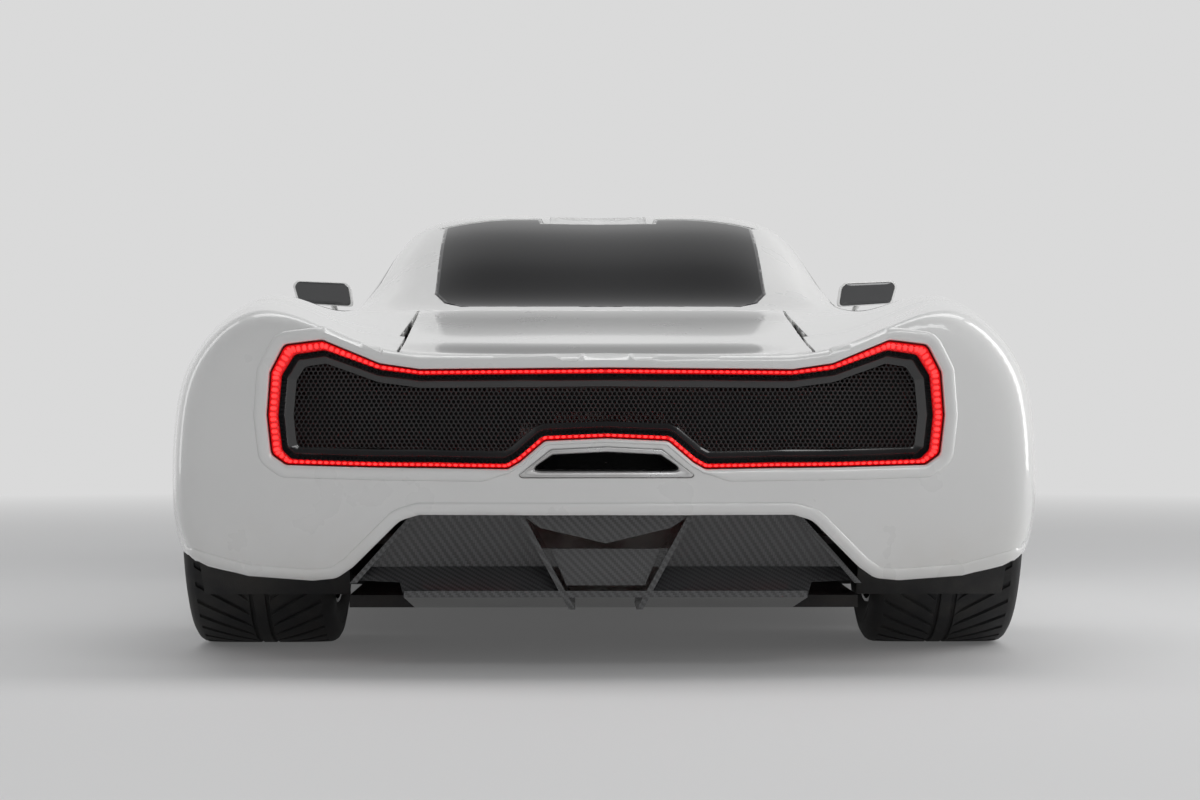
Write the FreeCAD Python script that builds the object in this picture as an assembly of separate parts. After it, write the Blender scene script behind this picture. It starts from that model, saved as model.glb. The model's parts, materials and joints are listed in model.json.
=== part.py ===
import FreeCAD, Part
import math
import os

# Mid-engine supercar. +Y is forward, +X is the car's right side, +Z is up.
# The origin is on the ground, at the middle of the car's length and width.

# Driving dimensions, in millimetres
REAR_OVERHANG = 860.0
WHEELBASE = 2700.0
FRONT_OVERHANG = 960.0
BODY_WIDTH = 2000.0
BODY_HEIGHT = 1136.0

# Walls of the body
PANEL_WALL = 30.0
BUMPER_WALL = 44.0
DOOR_WALL = 62.0
GLASS_WALL = 6.0
MESH_WALL = 6.0
SHUT_GAP = 6.0
DOOR_GAP = 7.5
SEAT_GAP = 0.3
TRIM_GAP = 3.0
OVERRUN = 40.0

# Wheels
REAR_TYRE_RADIUS = 357.0
REAR_TYRE_WIDTH = 345.0
FRONT_TYRE_RADIUS = 343.0
FRONT_TYRE_WIDTH = 265.0
RIM_RADIUS = 258.0
RIM_WALL = 12.0
TYRE_TUCK = 24.0
REAR_ARCH_GAP = 34.0
FRONT_ARCH_GAP = 56.0
LINER_WALL = 5.0
DISC_RADIUS = 190.0
DISC_WALL = 30.0
HUB_RADIUS = 72.0
HUB_BORE_RADIUS = 30.0
SPOKE_COUNT = 5
SHAFT_RADIUS = 21.0
TYRE_SHOULDER = 30.0
TYRE_BEAD_TUCK = 14.0
SPOKE_SET = 14.0
SPOKE_DEPTH = 34.0
SPOKE_WIDTH = 30.0
SPOKE_SPREAD = 62.0
SPOKE_ROOT_SHARE = .4
DISC_FACE = -30.0
CALIPER_GAP = 6.0
CALIPER_WALL = 22.0
CALIPER_INNER = 118.0
CALIPER_HALF_HEIGHT = 95.0
KNUCKLE_GAP = 8.0
KNUCKLE_WALL = 30.0
KNUCKLE_HALF_WIDTH = 55.0
KNUCKLE_HALF_HEIGHT = 130.0
PIN_RADIUS = 10.0
ARM_RADIUS = 12.0
ARM_SPREAD = 150.0
ARM_EYE_RADIUS = 24.0
ARM_EYE_HEIGHT = 18.0
JOINT_RADIUS = 46.0
JOINT_LENGTH = 70.0
STEER_AXIS_SET = 55.0
HUB_FACE_SHARE = .8
DISC_EYE_SHARE = .9
RIM_REACH_SHARE = .33
SHOULDER_SHARE = .3
CALIPER_FRONT_SHARE = .55
WHEEL_SIDES = 24
DISC_SIDES = 16
HUB_SIDES = 10
PIN_SIDES = 8
ROD_SIDES = 4
ROD_UPRIGHT_SHARE = .9
TYRE_CLEARANCE = 12.0

# Underside
FLOOR_HEIGHT = 112.0
FLOOR_WALL = 28.0
SKIN_BASE = 60.0
SILL_TOP = 205.0
FLOOR_TOP = FLOOR_HEIGHT + FLOOR_WALL

# Worked out from the sizes above
HALF_WIDTH = BODY_WIDTH / 2
HALF_LENGTH = (REAR_OVERHANG + WHEELBASE + FRONT_OVERHANG) / 2
REAR_AXLE = REAR_OVERHANG - HALF_LENGTH
FRONT_AXLE = REAR_AXLE + WHEELBASE
REAR_WHEEL_X = HALF_WIDTH - TYRE_TUCK - REAR_TYRE_WIDTH / 2
FRONT_WHEEL_X = HALF_WIDTH - 2 * TYRE_TUCK - FRONT_TYRE_WIDTH / 2
REAR_ARCH_RADIUS = REAR_TYRE_RADIUS + REAR_ARCH_GAP
FRONT_ARCH_RADIUS = FRONT_TYRE_RADIUS + FRONT_ARCH_GAP
STEER_AXIS_X = FRONT_WHEEL_X - STEER_AXIS_SET
FIREWALL_FACE = FRONT_AXLE - FRONT_ARCH_RADIUS - LINER_WALL - SEAT_GAP
HINGE_RADIUS = SHUT_GAP / 2 - SEAT_GAP

# Outer skin. Each section runs from the middle of the top out to the side and down, as
# shares of the half width and of the body height. Along the car -1 is the tail, 0 the
# rear axle, 1 the front axle and 2 the nose.
SECTION_SHARES = [
    (-.872, [(0, .603), (.203, .603), (.386, .605), (.497, .615), (.568, .64), (.634, .669),
     (.7, .691), (.771, .695), (.848, .659), (.906, .59), (.929, .52), (.939, .414), (.939, .308),
     (.919, .225), (.853, .16)]),
    (0, [(0, .691), (.203, .692), (.396, .691), (.528, .69), (.609, .697), (.675, .715),
     (.736, .739), (.807, .75), (.883, .71), (.976, .608), (1.005, .533), (1.019, .423),
     (1.017, .299), (1, .194), (.964, .132)]),
    (.093, [(0, .718), (.203, .718), (.396, .718), (.518, .718), (.609, .715), (.675, .718),
     (.736, .732), (.812, .744), (.885, .71), (.971, .612), (1, .541), (1.013, .427), (1.007, .299),
     (.99, .194), (.959, .118)]),
    (.222, [(0, .832), (.203, .836), (.376, .838), (.492, .814), (.584, .757), (.67, .718),
     (.741, .71), (.817, .715), (.883, .686), (.949, .616), (.974, .545), (.983, .431),
     (.974, .308), (.974, .194), (.954, .105)]),
    (.352, [(0, .937), (.203, .944), (.376, .944), (.513, .916), (.599, .819), (.68, .731),
     (.751, .691), (.827, .682), (.883, .661), (.929, .608), (.949, .537), (.939, .431),
     (.934, .317), (.959, .202), (.954, .101)]),
    (.5, [(0, 1.004), (.203, 1.012), (.376, 1.014), (.523, .981), (.609, .871), (.69, .753),
     (.756, .695), (.827, .673), (.881, .647), (.919, .598), (.934, .528), (.919, .431),
     (.919, .322), (.954, .211), (.954, .101)]),
    (.611, [(0, .984), (.203, .981), (.376, .973), (.518, .937), (.609, .845), (.695, .748),
     (.761, .693), (.827, .669), (.881, .644), (.919, .596), (.934, .528), (.919, .431),
     (.919, .322), (.954, .211), (.954, .101)]),
    (.741, [(0, .845), (.203, .84), (.376, .827), (.518, .796), (.614, .753), (.7, .709),
     (.766, .682), (.832, .667), (.888, .642), (.929, .594), (.946, .528), (.936, .431),
     (.934, .322), (.959, .215), (.954, .101)]),
    (.863, [(0, .715), (.203, .712), (.386, .703), (.528, .688), (.619, .678), (.7, .676),
     (.761, .682), (.832, .685), (.898, .656), (.952, .598), (.976, .528), (.983, .431),
     (.979, .322), (.974, .207), (.954, .101)]),
    (1, [(0, .638), (.203, .635), (.396, .627), (.528, .623), (.599, .635), (.66, .664),
     (.731, .692), (.812, .707), (.898, .674), (.959, .59), (.99, .52), (1, .423), (1, .317),
     (.985, .207), (.959, .114)]),
    (1.417, [(0, .564), (.203, .56), (.396, .547), (.538, .537), (.624, .539), (.69, .554),
     (.746, .577), (.807, .583), (.873, .552), (.929, .493), (.959, .431), (.969, .36), (.969, .29),
     (.959, .211), (.939, .132)]),
    (1.729, [(0, .48), (.203, .476), (.386, .463), (.518, .449), (.599, .447), (.66, .451),
     (.71, .456), (.761, .45), (.812, .423), (.858, .374), (.883, .33), (.893, .286), (.893, .238),
     (.883, .185), (.863, .132)]),
]
POLE_ROW_SHARES = ([-0.175 * k for k in range(4, 0, -1)] + [k / 18 for k in range(19)]
                   + [1 + 0.164 * k for k in range(1, 5)])
END_RING_SHARES = [0.99, 0.9, 0.72, 0.5, 0.3]
TAIL_ROUND = 100.0
TAIL_ROUND_SHARES = [.14, .14, .14, .14, .16, .24, .44, .66, .9, 1, 1, 1, .95, .8, .6, .5]
TAIL_BOW = 116.0
TAIL_RAKE = 70.0
TAIL_RAKE_SHARES = [(.158, 1), (.264, .31), (.396, 0), (.608, .2), (.748, .57)]
NOSE_ROUND = 120.0
NOSE_BOW = 300.0
NOSE_RAKE = 140.0
NOSE_RAKE_SHARES = [(.105, .29), (.264, 0), (.37, .07), (.484, .43), (.616, 1)]
SKIN_DEGREE = 3
STRAIGHT_ANGLE = .3
CORNER_REACH_SHARE = .45
# Poles, by number, at which the facets of the skin meet
FACET_ROWS = [0, 1, 3, 4, 5] + list(range(6, 33, 2)) + [33, 34, 36, 38]
FACET_COLUMNS = [0, 3, 5, 6, 7, 8, 9, 10, 11, 12, 13, 15]
INNER_COLUMNS = [0, 3, 5, 6, 7, 8, 9, 11, 13, 15]

# Outlines seen from above, as shares along and across
WINDSCREEN_SHARES = [(.868, 0), (.856, .36), (.822, .6), (.795, .625), (.655, .462), (.645, .42),
                     (.662, 0)]
ROOF_SHARES = [(.655, 0), (.638, .42), (.57, .455), (.45, .452), (.40, .45), (.412, .38), (.432, .28),
               (.441, .165), (.398, .155), (.398, 0)]
REAR_GLASS_SHARES = [(.398, 0), (.398, .158), (.431, .165), (.421, .28), (.401, .38), (.39, .43),
                     (.15, .43),
                     (.118, .40), (.103, .355), (.103, 0)]
ROOF_SLOT_SHARES = [(.398, .155), (.441, .165), (.432, .28), (.412, .38), (.40, .45), (.39, .43),
                    (.401, .38),
                    (.421, .28), (.431, .165), (.398, .158)]
BELT_SHARE = .745
CABIN_FRONT_SHARE = .885
CABIN_REAR_SHARE = .086
LID_SIDE_SHARE = .56
LID_NOSE_SHARE = 1.5
LID_NOSE_SIDE_SHARE = .5
DECK_SIDE_SHARE = .46
DECK_LIP_SIDE_SHARE = .44
DECK_LIP_SHARE = -.93
REAR_SEAM_SHARE = -.49
FRONT_SEAM_SHARE = 1.56
HEADLAMP_SHARES = [(1.74, .60), (1.60, .79), (1.42, .85), (1.44, .78), (1.56, .64), (1.70, .54)]

# Outlines seen from the side, as shares along and up
SIDE_GLASS_SHARES = [(.775, .674), (.77, .705), (.66, .817), (.57, .888), (.46, .888), (.35, .796),
                     (.355, .674)]
DOOR_FRONT_SHARES = [(.8, .817), (.8, .286), (.77, .194)]
DOOR_REAR_SHARES = [(.4, .194), (.335, .337), (.315, .511), (.345, .613), (.345, .817)]

# Outlines seen from behind, as shares across and up
RING_SHARES = [(0, .58), (.397, .577), (.482, .588), (.606, .633), (.69, .624), (.72, .572), (.726, .49),
               (.716, .416), (.684, .396), (.5, .392), (.209, .389), (.183, .402), (.13, .442), (0, .447)]
RING_INNER_SHARES = [(0, .57), (.397, .567), (.487, .577), (.604, .614), (.668, .606), (.696, .566),
                     (.703, .49),
                     (.694, .424), (.674, .407), (.5, .402), (.214, .399), (.190, .411), (.136,
                                                                                          .452), (0, .457)]
EXHAUST_SHARES = [(0, .432), (.117, .427), (.186, .379), (.18, .374), (0, .374)]
EXHAUST_INNER_SHARES = [(0, .421), (.114, .416), (.163, .387), (0, .387)]
EXHAUST_WALL = 15.0
EXHAUST_DEPTH = 120.0
BUMPER_EDGE_SHARES = [(0, .304), (.397, .304), (.439, .293), (.542, .203), (.578, .181), (.631, .176),
                      (.77, .184), (.93, .221), (1.1, .255)]
INTAKE_SHARES = [(0, .296), (.4, .291), (.45, .255), (.42, .168), (0, .163)]
SIDE_INTAKE_SHARES = [(.53, .276), (.72, .306), (.78, .265), (.76, .194), (.55, .174)]

# Other sizes
BUMPER_EDGE_ROUND = 45.0
RING_ROUND = 14.0
RING_SET = 10.0
EXHAUST_ROUND = 14.0
EXHAUST_PROUD = 4.0
INTAKE_ROUND = 25.0
GLASS_ROUND = 30.0
MESH_LAP = 16.0
SPLITTER_WALL = 16.0
SPLITTER_REAR_SHARE = 1.42
SPLITTER_SHARES = [(1.985, 0), (1.955, .35), (1.88, .62), (1.76, .80), (1.60, .91), (1.44, .945),
                   (1.42, .945), (1.42, 0)]
ARCH_INNER_SHARE = .86
SCOOP_SHARES = [(.298, .37), (.290, .57), (.258, .555), (.242, .43), (.254, .36)]
QUARTER_FRONT_SHARE = .42
FENDER_REAR_SHARE = .70
DOOR_MIDDLE_SHARE = .55
DOOR_CUT_SHARE = .817
SIDE_GLASS_INNER_SHARE = .4
LAMP_BASE_SHARE = .32
TROUGH_HALF_WIDTH = 140.0
TROUGH_WALL = 12.0
TROUGH_FRONT_SHARE = .53
TROUGH_FRONT_HEIGHT_SHARE = 1.006
TROUGH_REAR_HEIGHT_SHARE = .952
ROOF_REAR_SHARE = .398
UPPER_SHARE = .551
COVER_BASE_SHARE = .59
MIRROR_SHARE = .735
MIRROR_DEPTH = 120.0
MIRROR_TAPER_SHARE = .6
MIRROR_BLADE_START = .2
MIRROR_BLADE_END = .7
MIRROR_SHARES = [(.775, .781), (.955, .791), (.972, .842), (.96, .856), (.8, .85), (.785, .837)]
MIRROR_BLADE_SHARES = [(.8, .654), (.84, .654), (.87, .796), (.8, .796)]
HINGE_HALF_WIDTH = 50.0
REAR_FLOOR_HALF_WIDTH = 585.0
BOOT_HALF_WIDTH = 470.0
BOOT_WALL_TOP_SHARE = .395
FRONT_LINER_X = 560.0
BULKHEAD_WALL = 20.0
BULKHEAD_SHARE = .30
BULKHEAD_TOP_SHARE = .698
TUNNEL_HALF_WIDTH = 110.0
TUNNEL_TOP_SHARE = .186
JACK_PAD = 70.0
JACK_PAD_DROP = 8.0
JACK_PAD_X = 780.0
DIFFUSER_FRONT_SHARE = -.42
DIFFUSER_REAR_SHARE = -.86
DIFFUSER_WALL = 14.0
DIFFUSER_PANEL_SHARES = [(.185, .301), (.42, .301), (.55, .175), (.446, .171), (.435, .144), (.09, .144)]
DIFFUSER_RIM_SHARES = [(.42, .301), (.407, .301), (.537, .171), (.552, .171)]
DIFFUSER_FIN_SHARES = [(.19, .301), (.178, .301), (.066, .121), (.08, .121)]
DIFFUSER_BLADE_SHARES = [(0, .301), (.185, .301), (.14, .275), (0, .246)]
DIFFUSER_CENTRE_SHARES = [(0, .235), (.118, .235), (.085, .165), (0, .165)]
DIFFUSER_CARRIER_SHARES = [(0, .235), (.15, .235), (.128, .2), (0, .2)]
DIFFUSER_RAMP_SHARE = .144
DIFFUSER_CREASE_SHARE = .199
DIFFUSER_CREASE_SET = 60.0
DIFFUSER_TOP_SET = 22.0
DIFFUSER_FIN_LENGTH = 290.0
DIFFUSER_RIM_LENGTH = 170.0
DIFFUSER_BLADE_SET = 10.0
DIFFUSER_CENTRE_SET = 26.0
ENGINE_HALF_WIDTH = 290.0
ENGINE_FRONT_SHARE = .285
ENGINE_REAR_SHARE = .09
ENGINE_TOP_SHARE = .512
GEARBOX_HALF_WIDTH = 200.0
GEARBOX_REAR_SHARE = -.30
GEARBOX_TOP_SHARE = .384
DASH_DEPTH = 300.0
DASH_HALF_WIDTH = 720.0
DASH_SHARES = [(0, .349), (0, .605), (.5, .622), (.9, .582), (1, .5), (.8, .384)]
STEERING_RADIUS = 170.0
STEERING_GRIP = 14.0
STEERING_HUB_RADIUS = 45.0
STEERING_HUB_WALL = 40.0
STEERING_SPOKE = 9.0
STEERING_COLUMN = 230.0
STEERING_COLUMN_RADIUS = 32.0
STEERING_TILT = 22.0
STEERING_SHARES = (.665, -.36, .529)
SEAT_X = 360.0
SEAT_HALF_WIDTH = 245.0
SEAT_BOLSTER = 55.0
SEAT_ROUND = 30.0
SEAT_SHARES = [(.62, 0), (.62, .174), (.6, .197), (.44, .133), (.355, .698), (.315, .698), (.38, 0)]
SEAT_HOLLOW_SHARES = [(.66, .232), (.6, .145), (.455, .081), (.42, .092), (.35, .535), (.36, .791),
                      (.66, .791)]


def along(share):
    """Place along the car: -1 tail, 0 rear axle, 1 front axle, 2 nose."""
    if share < 0:
        return REAR_AXLE + share * REAR_OVERHANG
    if share <= 1:
        return REAR_AXLE + share * WHEELBASE
    return FRONT_AXLE + (share - 1) * FRONT_OVERHANG


def across(share):
    return share * HALF_WIDTH


def up(share):
    return share * BODY_HEIGHT


def cabin_up(share):
    """Height in the cabin: 0 at the top of the floor, 1 at the roof."""
    return FLOOR_TOP + share * (BODY_HEIGHT - FLOOR_TOP)


def vec(x, y, z):
    return FreeCAD.Vector(x, y, z)


def smooth_value(xs, ys, x):
    """Smooth curve through the points (xs, ys), with no overshoot."""
    count = len(xs)
    steps = [xs[k + 1] - xs[k] for k in range(count - 1)]
    rises = [(ys[k + 1] - ys[k]) / steps[k] for k in range(count - 1)]
    slopes = [rises[0]] + [0.0] * (count - 2) + [rises[-1]]
    for k in range(1, count - 1):
        if rises[k - 1] * rises[k] > 0:
            a = 2 * steps[k] + steps[k - 1]
            b = steps[k] + 2 * steps[k - 1]
            slopes[k] = (a + b) / (a / rises[k - 1] + b / rises[k])
    if x <= xs[0]:
        return ys[0] + slopes[0] * (x - xs[0])
    if x >= xs[-1]:
        return ys[-1] + slopes[-1] * (x - xs[-1])
    k = max(i for i in range(count - 1) if xs[i] <= x)
    t = (x - xs[k]) / steps[k]
    return ((2 * t ** 3 - 3 * t ** 2 + 1) * ys[k] + (t ** 3 - 2 * t ** 2 + t) * steps[k] * slopes[k]
            + (3 * t ** 2 - 2 * t ** 3) * ys[k + 1] + (t ** 3 - t ** 2) * steps[k] * slopes[k + 1])


def section_at(share):
    """Half section of the outer skin at one place along the car, as (x, z) points."""
    places = [along(s) for s, points in SECTION_SHARES]
    y = along(share)
    result = []
    for i in range(len(SECTION_SHARES[0][1])):
        x = smooth_value(places, [across(points[i][0]) for s, points in SECTION_SHARES], y)
        z = smooth_value(places, [up(points[i][1]) for s, points in SECTION_SHARES], y)
        result.append((x, z))
    return result


def drawn_in(points, inset, base):
    """Move a half section in by the wall, and end it on the base plane."""
    moved = []
    for i, (x, z) in enumerate(points):
        before = points[max(i - 1, 0)]
        after = points[min(i + 1, len(points) - 1)]
        if i == 0:
            moved.append((0.0, z - inset))
            continue
        dx = after[0] - before[0]
        dz = after[1] - before[1]
        size = math.hypot(dx, dz)
        moved.append((x + dz / size * inset, z - dx / size * inset))
    moved.append((moved[-1][0], base))
    return moved


def tail_y(x, z):
    """Rear face of the body, bowed in plan and raked in side view."""
    rake = smooth_value([up(s) for s, r in TAIL_RAKE_SHARES], [r * TAIL_RAKE for s,
                                                               r in TAIL_RAKE_SHARES], z)
    return -HALF_LENGTH + TAIL_BOW * (x / HALF_WIDTH) ** 2 + rake


def nose_y(x, z):
    """Front face of the body, bowed in plan and raked in side view."""
    rake = smooth_value([up(s) for s, r in NOSE_RAKE_SHARES], [r * NOSE_RAKE for s,
                                                               r in NOSE_RAKE_SHARES], z)
    return HALF_LENGTH - NOSE_BOW * (x / HALF_WIDTH) ** 2 - rake


def end_rings(section, face, inset, base):
    """Rings of poles that close an end of the skin, from the outside ring in."""
    rings = []
    for share in END_RING_SHARES:
        ring = [(x * share, base + (z - base) * share) for x, z in section]
        rings.append([(x, face(x, z) + inset, z) for x, z in ring])
    flat = rings[-1][0][1]
    rings[-1] = [(x, flat, z) for x, y, z in rings[-1]]
    return rings


def skin_poles(inset):
    """Net of poles of the whole skin, drawn in by inset, from tail to nose."""
    base = SKIN_BASE - inset
    tail = drawn_in(section_at(SECTION_SHARES[0][0]), inset, base)
    nose = drawn_in(section_at(SECTION_SHARES[-1][0]), inset, base)
    rows = end_rings(tail, tail_y, inset, base)[::-1]
    rows.append([(x, tail_y(x, z) + TAIL_ROUND_SHARES[i] * TAIL_ROUND + inset, z)
                 for i, (x, z) in enumerate(tail)])
    for share in POLE_ROW_SHARES:
        rows.append([(x, along(share), z) for x, z in drawn_in(section_at(share), inset, base)])
    rows.append([(x, nose_y(x, z) - NOSE_ROUND - inset, z) for x, z in nose])
    rows += end_rings(nose, nose_y, -inset, base)
    return [[(-x, y, z) for x, y, z in row[:0:-1]] + row for row in rows]


def clamped_knots(count):
    """Evenly spaced knots of a clamped curve with count poles, and how often each repeats."""
    inner = count - SKIN_DEGREE + 1
    return [float(k) for k in range(inner)], [SKIN_DEGREE + 1] + [1] * (inner - 2) + [SKIN_DEGREE + 1]


def pole_parameters(count):
    """Parameter of a clamped curve that lies nearest to each of its poles."""
    knots, repeats = clamped_knots(count)
    full = [k for k, r in zip(knots, repeats) for _ in range(r)]
    return [sum(full[i + 1:i + 1 + SKIN_DEGREE]) / SKIN_DEGREE for i in range(count)]


def skin_surface(inset):
    """Smooth surface of the whole outer form, drawn in by inset."""
    rows = [[vec(*p) for p in row] for row in skin_poles(inset)]
    row_knots, row_repeats = clamped_knots(len(rows))
    pole_knots, pole_repeats = clamped_knots(len(rows[0]))
    surface = Part.BSplineSurface()
    surface.buildFromPolesMultsKnots(rows, row_repeats, pole_repeats, row_knots, pole_knots,
                                     False, False, SKIN_DEGREE, SKIN_DEGREE)
    return surface, pole_parameters(len(rows)), pole_parameters(len(rows[0]))


def polygon_face(points):
    return Part.Face(Part.makePolygon(points + points[:1]))


def skin_solid(inset, columns=FACET_COLUMNS):
    """Closed solid of the whole outer form, drawn in by inset, in flat facets."""
    surface, row_places, column_places = skin_surface(inset)
    us = [row_places[i] for i in FACET_ROWS]
    middle = len(column_places) // 2
    vs = [column_places[middle - j] for j in reversed(columns[1:])] + [column_places[middle + j]
                                                                       for j in columns]
    grid = [[surface.value(u, v) for v in vs] for u in us]
    faces = []
    for i in range(len(us) - 1):
        for j in range(len(vs) - 1):
            a, b, c, d = grid[i][j], grid[i][j + 1], grid[i + 1][j + 1], grid[i + 1][j]
            centre = surface.value((us[i] + us[i + 1]) / 2, (vs[j] + vs[j + 1]) / 2)
            if ((a + c) * 0.5 - centre).Length < ((b + d) * 0.5 - centre).Length:
                faces += [polygon_face([a, b, c]), polygon_face([a, c, d])]
            else:
                faces += [polygon_face([a, b, d]), polygon_face([b, c, d])]
    faces.append(polygon_face(grid[0]))
    faces.append(polygon_face(grid[-1]))
    faces.append(polygon_face([row[0] for row in grid] + [row[-1] for row in reversed(grid)]))
    shell = Part.makeShell(faces)
    shell.sewShape()
    solid = Part.makeSolid(shell)
    if solid.Volume < 0:
        solid.reverse()
    return solid


def corner_points(before, corner, after, radius):
    """Points that take a corner of an outline round in two flats, as far as its sides allow."""
    back = before - corner
    ahead = after - corner
    turn = back.getAngle(ahead)
    if not radius or math.pi - turn < STRAIGHT_ANGLE:
        return [corner]
    reach = min(radius / math.tan(turn / 2), CORNER_REACH_SHARE * back.Length,
                CORNER_REACH_SHARE * ahead.Length)
    first = corner + back * (reach / back.Length)
    last = corner + ahead * (reach / ahead.Length)
    bisector = back * (1 / back.Length) + ahead * (1 / ahead.Length)
    bow = reach * math.tan(turn / 2)
    away = bow / math.sin(turn / 2) - bow
    return [first, corner + bisector * (away / bisector.Length), last]


def rounded_face(points, radius):
    """Flat face of a polygon, with its corners taken round."""
    outline = []
    for i, corner in enumerate(points):
        outline += corner_points(points[i - 1], corner, points[(i + 1) % len(points)], radius)
    return polygon_face(outline)


def both_sides(half):
    """Close a half outline, which starts and ends on the middle line, with its mirror image."""
    other = [(-a, b) for a, b in reversed(half) if a > 0]
    return half + other


def plan_prism(outline, radius=0.0):
    """Upright prism through the body, from an outline of (x, y) points."""
    face = rounded_face([vec(x, y, -OVERRUN) for x, y in outline], radius)
    return face.extrude(vec(0, 0, BODY_HEIGHT + 2 * OVERRUN))


def side_prism(outline, inner_x, outer_x, radius=0.0):
    """Prism across the body between two x, from an outline of (y, z) points."""
    face = rounded_face([vec(inner_x, y, z) for y, z in outline], radius)
    return face.extrude(vec(outer_x - inner_x, 0, 0))


def rear_prism(outline, start_y, end_y, radius=0.0):
    """Prism along the body between two y, from an outline of (x, z) points."""
    face = rounded_face([vec(x, start_y, z) for x, z in outline], radius)
    return face.extrude(vec(0, end_y - start_y, 0))


def block(x0, x1, y0, y1, z0, z1):
    return Part.makeBox(x1 - x0, y1 - y0, z1 - z0, vec(x0, y0, z0))


def mirrored(shape):
    return shape.mirror(vec(0, 0, 0), vec(1, 0, 0))


def tube_between(a, b, radius):
    return rod(a, b, radius, ROD_SIDES)


def plan_outline(shares):
    return both_sides([(across(x), along(y)) for y, x in shares])


def rear_outline(shares):
    return both_sides([(across(x), up(z)) for x, z in shares])


def half_rear_outline(shares):
    """Places across and up of an outline on the right side alone."""
    return [(across(x), up(z)) for x, z in shares]


def grown_outline(points, amount):
    """Closed outline with its sides moved out by an even amount, or in where that is negative."""
    count = len(points)
    pairs = [(points[i], points[(i + 1) % count]) for i in range(count)]
    area = sum(a[0] * b[1] - b[0] * a[1] for a, b in pairs)
    out = amount if area > 0 else -amount
    normals = []
    for a, b in pairs:
        size = math.hypot(b[0] - a[0], b[1] - a[1])
        normals.append(((b[1] - a[1]) / size, (a[0] - b[0]) / size))
    grown = []
    for i, (x, z) in enumerate(points):
        before, after = normals[i - 1], normals[i]
        reach = out / (1 + before[0] * after[0] + before[1] * after[1])
        grown.append((x + (before[0] + after[0]) * reach, z + (before[1] + after[1]) * reach))
    return grown


def side_outline(shares):
    return [(along(y), up(z)) for y, z in shares]


def wheel_cylinder(radius, x0, x1, axle_y, axle_z):
    """Cylinder in flats on a wheel's axis, between two places across the car."""
    sides = WHEEL_SIDES if radius > DISC_RADIUS + CALIPER_GAP else (DISC_SIDES if radius > HUB_RADIUS
                                                                    else HUB_SIDES)
    return rod(vec(x0, axle_y, axle_z), vec(x1, axle_y, axle_z), radius, sides)


def around(radius, sides):
    """Corner radius of a shape in flats whose flats lie at a radius."""
    return radius / math.cos(math.pi / sides)


def axle_bore(x0, x1, axle_y, axle_z):
    """Bore on a wheel's axis, in flats that touch its radius."""
    return rod(vec(x0, axle_y, axle_z), vec(x1, axle_y, axle_z), around(HUB_BORE_RADIUS, HUB_SIDES),
               HUB_SIDES)


def axle_bar(x0, x1, axle_y, axle_z):
    """Axle that turns in that bore, with its corners at the bore's flats."""
    return rod(vec(x0, axle_y, axle_z), vec(x1, axle_y, axle_z), HUB_BORE_RADIUS - SEAT_GAP, HUB_SIDES, 0)


def tyre_room(radius, wheel_x, width, axle_y):
    """Room round a whole tyre that no panel may enter."""
    start = wheel_x - width / 2 - TYRE_CLEARANCE
    return wheel_cylinder(radius + TYRE_CLEARANCE, start, HALF_WIDTH + OVERRUN, axle_y, radius)


def arch_cutter(radius, axle_y, axle_z):
    return wheel_cylinder(radius, across(ARCH_INNER_SHARE), HALF_WIDTH + OVERRUN, axle_y, axle_z)


def door_side(shares, shift):
    return [(along(y) + shift, up(z)) for y, z in shares]


def door_prism(grow):
    """Side view of the door, grown by a gap at its front and rear edges."""
    outline = door_side(DOOR_FRONT_SHARES, grow) + door_side(DOOR_REAR_SHARES, -grow)
    return side_prism(outline, across(BELT_SHARE), HALF_WIDTH + OVERRUN)


def bumper_edge():
    """Room under the lower edge of the tail, as far forward as the rear axle."""
    low = half_rear_outline(BUMPER_EDGE_SHARES)
    low += [(low[-1][0], -OVERRUN), (0.0, -OVERRUN)]
    return rear_prism(both_sides(low), TAIL_START, REAR_AXLE, BUMPER_EDGE_ROUND)


def make_rear_bumper(shell, openings):
    body = shell.common(block(-HALF_WIDTH - OVERRUN, HALF_WIDTH + OVERRUN, TAIL_START,
                              along(REAR_SEAM_SHARE),
                              FLOOR_HEIGHT, BODY_HEIGHT))
    return body.cut([bumper_edge()] + openings)


def make_quarter(shell):
    """Right rear quarter panel, with its arch and the air scoop behind the door."""
    deck = across(DECK_SIDE_SHARE) + SHUT_GAP
    belt = across(BELT_SHARE)
    end = along(QUARTER_FRONT_SHARE)
    middle = along(DOOR_MIDDLE_SHARE)
    outer = HALF_WIDTH + OVERRUN
    plan = [(deck, along(REAR_SEAM_SHARE)), (deck, along(CABIN_REAR_SHARE)),
            (belt, along(CABIN_REAR_SHARE)),
            (belt, end), (outer, end), (outer, along(REAR_SEAM_SHARE))]
    body = shell.common(plan_prism(plan))
    front = door_side(DOOR_REAR_SHARES, -DOOR_GAP) + [(middle, up(DOOR_CUT_SHARE)),
                                                      (middle, SILL_TOP - OVERRUN)]
    door_room = side_prism(front, belt - OVERRUN, outer)
    low = block(across(DECK_SIDE_SHARE), outer, REAR_AXLE, middle, -OVERRUN, SILL_TOP)
    under = block(across(DECK_SIDE_SHARE), outer, -HALF_LENGTH, middle, -OVERRUN, FLOOR_HEIGHT)
    arch = arch_cutter(REAR_ARCH_RADIUS, REAR_AXLE, REAR_TYRE_RADIUS)
    room = tyre_room(REAR_TYRE_RADIUS, REAR_WHEEL_X, REAR_TYRE_WIDTH, REAR_AXLE)
    scoop = side_prism(side_outline(SCOOP_SHARES), across(ARCH_INNER_SHARE), outer, INTAKE_ROUND)
    return body.cut([door_room, low, under, arch, room, scoop, bumper_edge()])


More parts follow.
